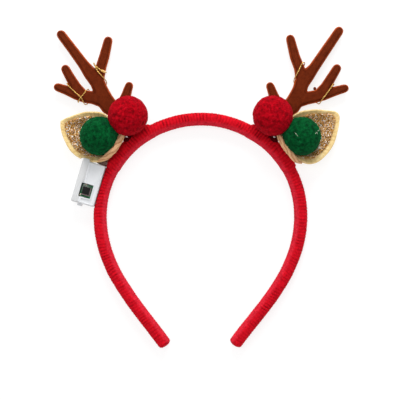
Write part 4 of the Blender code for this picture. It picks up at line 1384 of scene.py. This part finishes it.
def build_box(plastic, shaded_lid_plastic):
    """The case with its dished front, the window with a lip round it, the catch and the lid."""
    parting = -BOX_WIDTH / 2 + LID_WIDTH + GAP
    ends = (-BOX_LENGTH / 2, BOX_LENGTH / 2)
    across = (parting - CASE_TUCK, BOX_WIDTH / 2)
    case = block("battery_box_case", across, ends, (0.00005, BOX_DEPTH), plastic, BOX_ROUNDING, 5)
    start = parting + CATCH_INSET
    catch_ends = (ends[0] - CATCH_LENGTH, ends[0] + BOX_ROUNDING)
    catch = block("catch", (start, start + CATCH_WIDTH), catch_ends, CATCH_HEIGHTS, plastic, SOFT_ROUNDING)
    carve(case, catch, "UNION")
    dish_across = (parting + BOX_LIP, BOX_WIDTH / 2 - BOX_LIP)
    dish_ends = (ends[0] + BOX_LIP, ends[1] - BOX_LIP)
    dish_heights = (BOX_DEPTH - BOX_DISH, BOX_DEPTH + BOX_DISH)
    dish = block("dish", dish_across, dish_ends, dish_heights, plastic, BOX_DISH * 0.9, 4)
    carve(dish, window_block(WINDOW_LIP, 2 * BOX_DISH, SOFT_ROUNDING, plastic), "DIFFERENCE")
    carve(case, dish, "DIFFERENCE")
    carve(case, window_block(0.0, WINDOW_DEPTH, WINDOW_ROUNDING, plastic), "DIFFERENCE")
    finish_edges(case)
    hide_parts("battery_box")
    piece(case)
    lid_sides = (-BOX_WIDTH / 2, parting + 0.0001)
    lid_ends = (ends[0] - 0.00015, ends[1] + LID_OVERHANG)
    top = BOX_DEPTH + LID_PROUD
    lid = block("battery_lid_cover", lid_sides, lid_ends, (0, top), shaded_lid_plastic, BOX_ROUNDING, 5)
    lip_sides = (lid_sides[0] + 0.0003, lid_sides[1] - 0.0002)
    lip_ends = (ends[1] - 2 * BOX_ROUNDING, lid_ends[1] + LID_LIP)
    lip = block("lip", lip_sides, lip_ends, (top - LID_LIP_DEPTH, top - 0.0001), shaded_lid_plastic, LIP_ROUNDING, 4)
    carve(lid, lip, "UNION")
    carve(lid, window_block(0.0, WINDOW_DEPTH, WINDOW_ROUNDING, shaded_lid_plastic), "DIFFERENCE")
    finish_edges(lid)
    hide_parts("battery_lid")
    piece(lid)


def blob(name, place, size, finish, seed, lumps=0.08):
    """A lump of solder, lacquer or glue: a ball drawn out by size and slightly uneven."""
    rng = np.random.default_rng(seed)
    mesh, points = ball_mesh(name, 5)
    points *= 1 + lumps * wave_noise(rng, *points.T, waves=6, scale=2.2)[:, None]
    _, along, outward = box_axes()
    turned = points[:, :1] * size[0] * -np.array(outward) + points[:, 1:2] * size[1] * np.array(along)
    turned[:, 2] += points[:, 2] * size[2]
    return piece(ball_object(mesh, turned + np.array(place), finish))


def build_board():
    """The circuit board with its solder and lacquer blobs, the switch and its button."""
    half_board = (WINDOW_WIDTH / 2 - GAP, WINDOW_LENGTH / 2 - GAP)
    board_heights = (BOARD_LOW, BOARD_HIGH)
    board = middle_block("circuit_board_lacquered", half_board, board_heights, board_finish(), 0.00008)
    points = mesh_points(board.data)
    # Painted shade: the lacquer darkens towards this corner
    corner = np.array(box_place(-half_board[0], -WINDOW_DROP + half_board[1], BOARD_HIGH))
    away = np.linalg.norm(points - corner, axis=1)
    add_attribute(board, "corner", smooth_step(1.2 - away / BOARD_SHADE_REACH))
    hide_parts("circuit_board")
    piece(board)
    solder = metal_finish("solder", shade(244, 230, 206), 0.35, 0.15)
    lacquer = plastic_finish("lacquer_drop", shade(20, 104, 58), 0.10)
    for number, (across, along, size) in enumerate(SOLDER_BLOBS, start=1):
        place = box_place(across, along, BOARD_HIGH)
        blob(f"solder_blob_{number}", place, size, solder, number)
    across, along, size = LACQUER_DROP
    blob("lacquer_drop", box_place(across, along, BOARD_HIGH), size, lacquer, 3)
    metal = metal_finish("switch_metal", shade(140, 120, 122), 0.45, 0.4)
    low, high = -SWITCH_WIDTH / 2 + SWITCH_SHIFT, SWITCH_WIDTH / 2 + SWITCH_SHIFT
    heights = (BOARD_HIGH + GAP, BOARD_HIGH + GAP + SWITCH_HEIGHT)
    along = (-WINDOW_DROP - high, -WINDOW_DROP - low)
    base = block("switch_base_frame", (low, high), along, heights, metal, 0.0002)
    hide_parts("switch_base")
    piece(base)
    black = plastic_finish("button_plastic", shade(12, 11, 11), 0.60, amount=0.15, specular=0.2)
    half_button = (BUTTON_WIDTH / 2, BUTTON_WIDTH / 2)
    heights = (BUTTON_LOW, BUTTON_LOW + BUTTON_HEIGHT)
    button = middle_block("switch_button_cap", half_button, heights, black, 0.00025)
    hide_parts("switch_button")
    piece(button, BUTTON_BODY)


def middle_block(name, half, heights, finish, rounding):
    """A block in the middle of the window."""
    ends = (-WINDOW_DROP - half[1], -WINDOW_DROP + half[1])
    return block(name, (-half[0], half[0]), ends, heights, finish, rounding)


# Light wire


def lay_on(surface, place, distance):
    """Moves a place out from a surface until it is at least a distance clear."""
    near, normal, _, _ = surface.find_nearest(place)
    away = place - near
    if away.dot(normal) < 0:
        return near + normal * distance
    if away.length < distance:
        return near + away.normalized() * distance
    return place


def antler_place(side, out, up, level):
    foot = polar(side, ANTLER_ANGLE, PALM_FOOT, BAND_MIDDLE)
    place = foot + Vector((side * out, up, 0)) * ANTLER_SIZE
    lift = ANTLER_THICKNESS / 2 + GAP + WIRE_DIAMETER / 2
    place.z += math.copysign(min(abs(level), 1), level) * lift
    if abs(level) > 1:
        place.z += math.copysign((abs(level) - 1) * 2 * WIRE_DIAMETER, level)
    return place


def wire_places(side):
    """The wire's route, laid on the antler and eased."""
    node = NODES["antler_" + SIDE_NAMES[side]]
    surface = BVHTree.FromPolygons(
        [vertex.co for vertex in node.data.vertices], [polygon.vertices for polygon in node.data.polygons]
    )
    clearance = 2 * STRAND_RADIUS + 0.0002
    places = smooth_route([antler_place(side, *row) for row in ROUTES[side]], WIRE_STEP)
    for _ in range(WIRE_EASINGS):
        places = [lay_on(surface, place, clearance) for place in places]
        eased = [(a + b * 2 + c) / 4 for a, b, c in zip(places, places[1:], places[2:])]
        places = [places[0]] + eased + [places[-1]]
    return [lay_on(surface, place, clearance) for place in places]


def tube(name, path, radius, sides, finish):
    """A round tube along a path of points, closed at both ends."""
    path = np.asarray(path, float)
    ahead = unit(np.gradient(path, axis=0))
    across = np.empty_like(ahead)
    side = unit(np.cross(ahead[0], (0.3, 0.2, 1.0)))
    for i, direction in enumerate(ahead):
        side = unit(side - direction * (side * direction).sum())
        across[i] = side
    other = np.cross(ahead, across)
    angle = np.arange(sides) * 2 * np.pi / sides
    ring = across[:, None, :] * np.cos(angle)[:, None] + other[:, None, :] * np.sin(angle)[:, None]
    places = path[:, None, :] + ring * radius
    made = mesh_object(name, places.reshape(-1, 3), grid_faces(len(path), sides), finish)
    close_ends(made, len(path), sides)
    return made


def build_wire(side, brass, resin):
    """Two strands twisted together, and small lamps where they sit on the wire."""
    places = np.array([list(place) for place in wire_places(side)])
    run = run_along(places)
    fine = np.linspace(0, run[-1], int(run[-1] / 0.00025))
    path = np.stack([np.interp(fine, run, places[:, axis]) for axis in range(3)], axis=1)
    ahead = unit(np.gradient(path, axis=0))
    across = unit(np.cross(ahead, (0.31, 0.17, 0.93)))
    other = np.cross(ahead, across)
    turn = (fine / STRAND_PITCH * 2 * np.pi)[:, None]
    name = "light_wire_" + SIDE_NAMES[side]
    for number, start in enumerate((0.0, math.pi), start=1):
        offset = (across * np.cos(turn + start) + other * np.sin(turn + start)) * STRAND_RADIUS * 0.95
        strand = tube(f"{name}_strand_{number}", path + offset, STRAND_RADIUS, 7, brass)
        if number == 1:
            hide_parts(name)
        piece(strand)
    for number, (out, up) in enumerate(LAMPS[side], start=1):
        wanted = np.array(antler_place(side, out, up, 1))
        index = int(np.argmin(np.linalg.norm(path - wanted, axis=1)))
        build_lamp(f"{name}_lamp_{number}", path[index], ahead[index], resin, 30 * number + side)


def build_lamp(name, place, ahead, resin, seed):
    """A drop of resin round a tiny lamp on the wire."""
    rng = np.random.default_rng(seed)
    mesh, points = ball_mesh(name, 4)
    points *= 1 + 0.06 * wave_noise(rng, *points.T, waves=5, scale=2.0)[:, None]
    across = unit(np.cross(ahead, (0.0, 0.0, 1.0)))
    up = np.cross(across, ahead)
    turned = points[:, :1] * ahead * LAMP_LENGTH / 2 + points[:, 1:2] * across * LAMP_WIDTH / 2
    turned += points[:, 2:] * up * LAMP_WIDTH / 2
    piece(ball_object(mesh, turned + place, resin))


# Glue


def build_glue():
    """The lump of glue in the corner between ear, box and band, and beside each red pompon a drop of glue,
    nearly white as a painted glint, in a dark lump of painted shadow.
    """
    _, along, outward = box_axes()
    past_box = BOX_SLIDE + BOX_LENGTH / 2 + GAP + GLUE_RADIUS
    from_crown = SHOULDER_OUTSIDE + GAP + GLUE_RADIUS
    beside_band = math.sqrt(from_crown**2 - past_box**2)
    middle = along * (past_box + GLUE_SHIFT[0]) + outward * (beside_band + GLUE_SHIFT[1])
    middle.z = BAND_MIDDLE + GLUE_SHIFT[2]
    glue = clear_finish("hot_glue", shade(96, 68, 60), shade(142, 112, 102), 0.2, 0.10)
    lump = blob("glue_pad_lump", middle, GLUE_SIZE, glue, 8, 0.12)
    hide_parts("glue_pad")
    # Nearly white and barely clear: a drop of glue with a painted glint
    drop = clear_finish("glue_glint_drop", shade(240, 232, 228), shade(255, 252, 250), 0.08, 0.10)
    # Dark red lump where the pompon casts shadow: painted shadow
    dye_and_shade = thread_finish("seat_shadow", shade(140, 20, 30), shade(34, 0, 2), shade(84, 2, 8), 0.1, 1500)
    for side in (LEFT, RIGHT):
        word = SIDE_NAMES[side]
        seat = polar(side, DROP_ANGLE, DROP_DISTANCE, DROP_HEIGHT - SEAT_SUNK)
        blob("pompon_shadow_seat_" + word, seat, SEAT_SIZE, dye_and_shade, 64 + side, 0.12)
        place = polar(side, DROP_ANGLE, DROP_DISTANCE - 0.0002, DROP_HEIGHT)
        blob("glue_glint_drop_" + word, place, DROP_SIZE, drop, 60 + side, 0.2)


def hair(name, ends, bend, finish):
    """A short loose thread between two places, bent sideways."""
    start, end = (np.array(place) for place in ends)
    share = np.linspace(0, 1, 12)[:, None]
    path = start * (1 - share) + end * share + np.array(bend) * np.sin(share * np.pi)
    piece(tube(name, path, HAIR_RADIUS, 5, finish))


def build_loose_threads():
    """Short threads of felt and yarn that stick out at the box's end, and lint on the right green pompon."""
    brown = thread_finish("brown_thread", shade(150, 110, 60), shade(110, 70, 30), shade(180, 140, 80))
    end = BOX_LENGTH / 2
    for number, (across, lean) in enumerate(BOX_THREADS, start=1):
        start = box_place(across, end + 0.0002, BOX_DEPTH - 0.0020)
        tip = box_place(across + lean, end + 0.0016, BOX_DEPTH - 0.0012)
        hair(f"box_thread_{number}", (start, tip), BOX_THREAD_BEND, brown)
    pale = thread_finish("lint", shade(230, 230, 220), shade(150, 170, 140), shade(225, 225, 205))
    middle = np.array(green_middle(RIGHT))
    for number, row in enumerate(LINT, start=1):
        places = []
        for out, up in (row[:2], row[2:]):
            rise = math.sqrt(max(GREEN_RADIUS**2 - out**2 - up**2, 0.0)) + GREEN_FULLNESS[RIGHT]
            places.append(middle + (out, up, rise))
        bend = unit(places[0] + places[1] - 2 * middle) * LINT_BEND
        hair(f"lint_{number}", places, bend, pale)


# Camera, light and floor


def build_stage():
    """A white floor that glows a little so that only soft shadows show on it, and light from all sides."""
    corners = [(x * FLOOR_REACH, y * FLOOR_REACH, -0.0001) for x, y in ((-1, -1), (1, -1), (1, 1), (-1, 1))]
    pale = (FLOOR_SHADE, FLOOR_SHADE, FLOOR_SHADE)
    white = (1.0, 1.0, 1.0)
    glow = {"Emission_Color": white, "Emission_Strength": FLOOR_GLOW}
    finish = Finish("pale_floor", Base_Color=pale, Roughness=0.8, **glow)
    floor = mesh_object("floor", corners, [(0, 1, 2, 3)], finish.material)
    world = bpy.data.worlds.new("studio")
    world.use_nodes = True
    tree = world.node_tree
    direction = tree.nodes.new("ShaderNodeTexCoord").outputs["Generated"]
    parts = tree.nodes.new("ShaderNodeSeparateXYZ")
    tree.links.new(direction, parts.inputs[0])
    level = tree.nodes.new("ShaderNodeMapRange")
    level.inputs["To Min"].default_value = HORIZON_LIGHT
    level.inputs["To Max"].default_value = ZENITH_LIGHT
    tree.links.new(parts.outputs["Z"], level.inputs["Value"])
    tree.links.new(level.outputs["Result"], tree.nodes["Background"].inputs["Strength"])
    tree.nodes["Background"].inputs["Color"].default_value = (1.0, 1.0, 1.0, 1.0)
    bpy.context.scene.world = world
    for name, (place, size, power) in AREA_LIGHTS.items():
        add_area(name, place, size, power)
    camera = bpy.data.cameras.new("camera")
    camera.sensor_width = 36.0
    camera.lens = camera.sensor_width * CAMERA_DISTANCE / FRAME_WIDTH
    camera.clip_start = 0.05
    camera.clip_end = 10.0
    viewer = link_object("camera", camera)
    viewer.location = (CAMERA_X, CAMERA_Y, BAND_MIDDLE + CAMERA_DISTANCE)
    bpy.context.scene.camera = viewer
    bpy.context.scene.view_settings.view_transform = "Standard"


def add_area(name, place, size, power):
    light = bpy.data.lights.new(name, "AREA")
    light.shape = "DISK"
    light.size = size
    light.energy = power
    made = link_object(name, light)
    made.location = place
    made.rotation_euler = (-Vector(place)).to_track_quat("-Z", "Y").to_euler()


def main():
    build_stage()
    build_band()
    flock = antler_finish()
    flock_shades = (shade(60, 18, 4), shade(94, 32, 11), shade(122, 50, 22))
    flock_fibre = fibre_finish("flock_fibre", *flock_shades, 0.1, 0.25, 330)
    # The fibres on the edges are lighter and more orange: painted sheen
    edge_sheen_shades = (shade(140, 56, 20), shade(194, 94, 44), shade(224, 132, 80))
    edge_sheen_fibre = fibre_finish("flock_edge_fibre", *edge_sheen_shades, 0.2)
    felt = ear_finish()
    felt_fibre = fibre_finish("ear_fibre", shade(200, 160, 92), shade(226, 192, 124), shade(242, 218, 162))
    ground = glitter_ground_finish()
    flakes = flake_finish()
    brass = metal_finish("wire_brass", shade(222, 178, 96), 0.35, 0.7)
    resin = clear_finish("lamp_resin", shade(206, 150, 60), shade(244, 200, 110), 0.12, 0.15)
    for side in (LEFT, RIGHT):
        build_antler(side, flock, flock_fibre, edge_sheen_fibre)
        build_pompons(side)
        build_ear_shell(side, felt, felt_fibre)
        build_roll(side, felt, felt_fibre)
        build_ear_lining(side, ground, flakes)
        build_wire(side, brass, resin)
    box_plastic = plastic_finish("box_plastic", shade(213, 215, 218), 0.40)
    # A darker copy of the box's plastic for the lid: painted shade
    shaded_lid_plastic = plastic_finish("shaded_lid_plastic", shade(204, 205, 206), 0.45)
    build_box(box_plastic, shaded_lid_plastic)
    build_board()
    build_glue()
    build_nub(flock)
    build_loose_threads()


main()
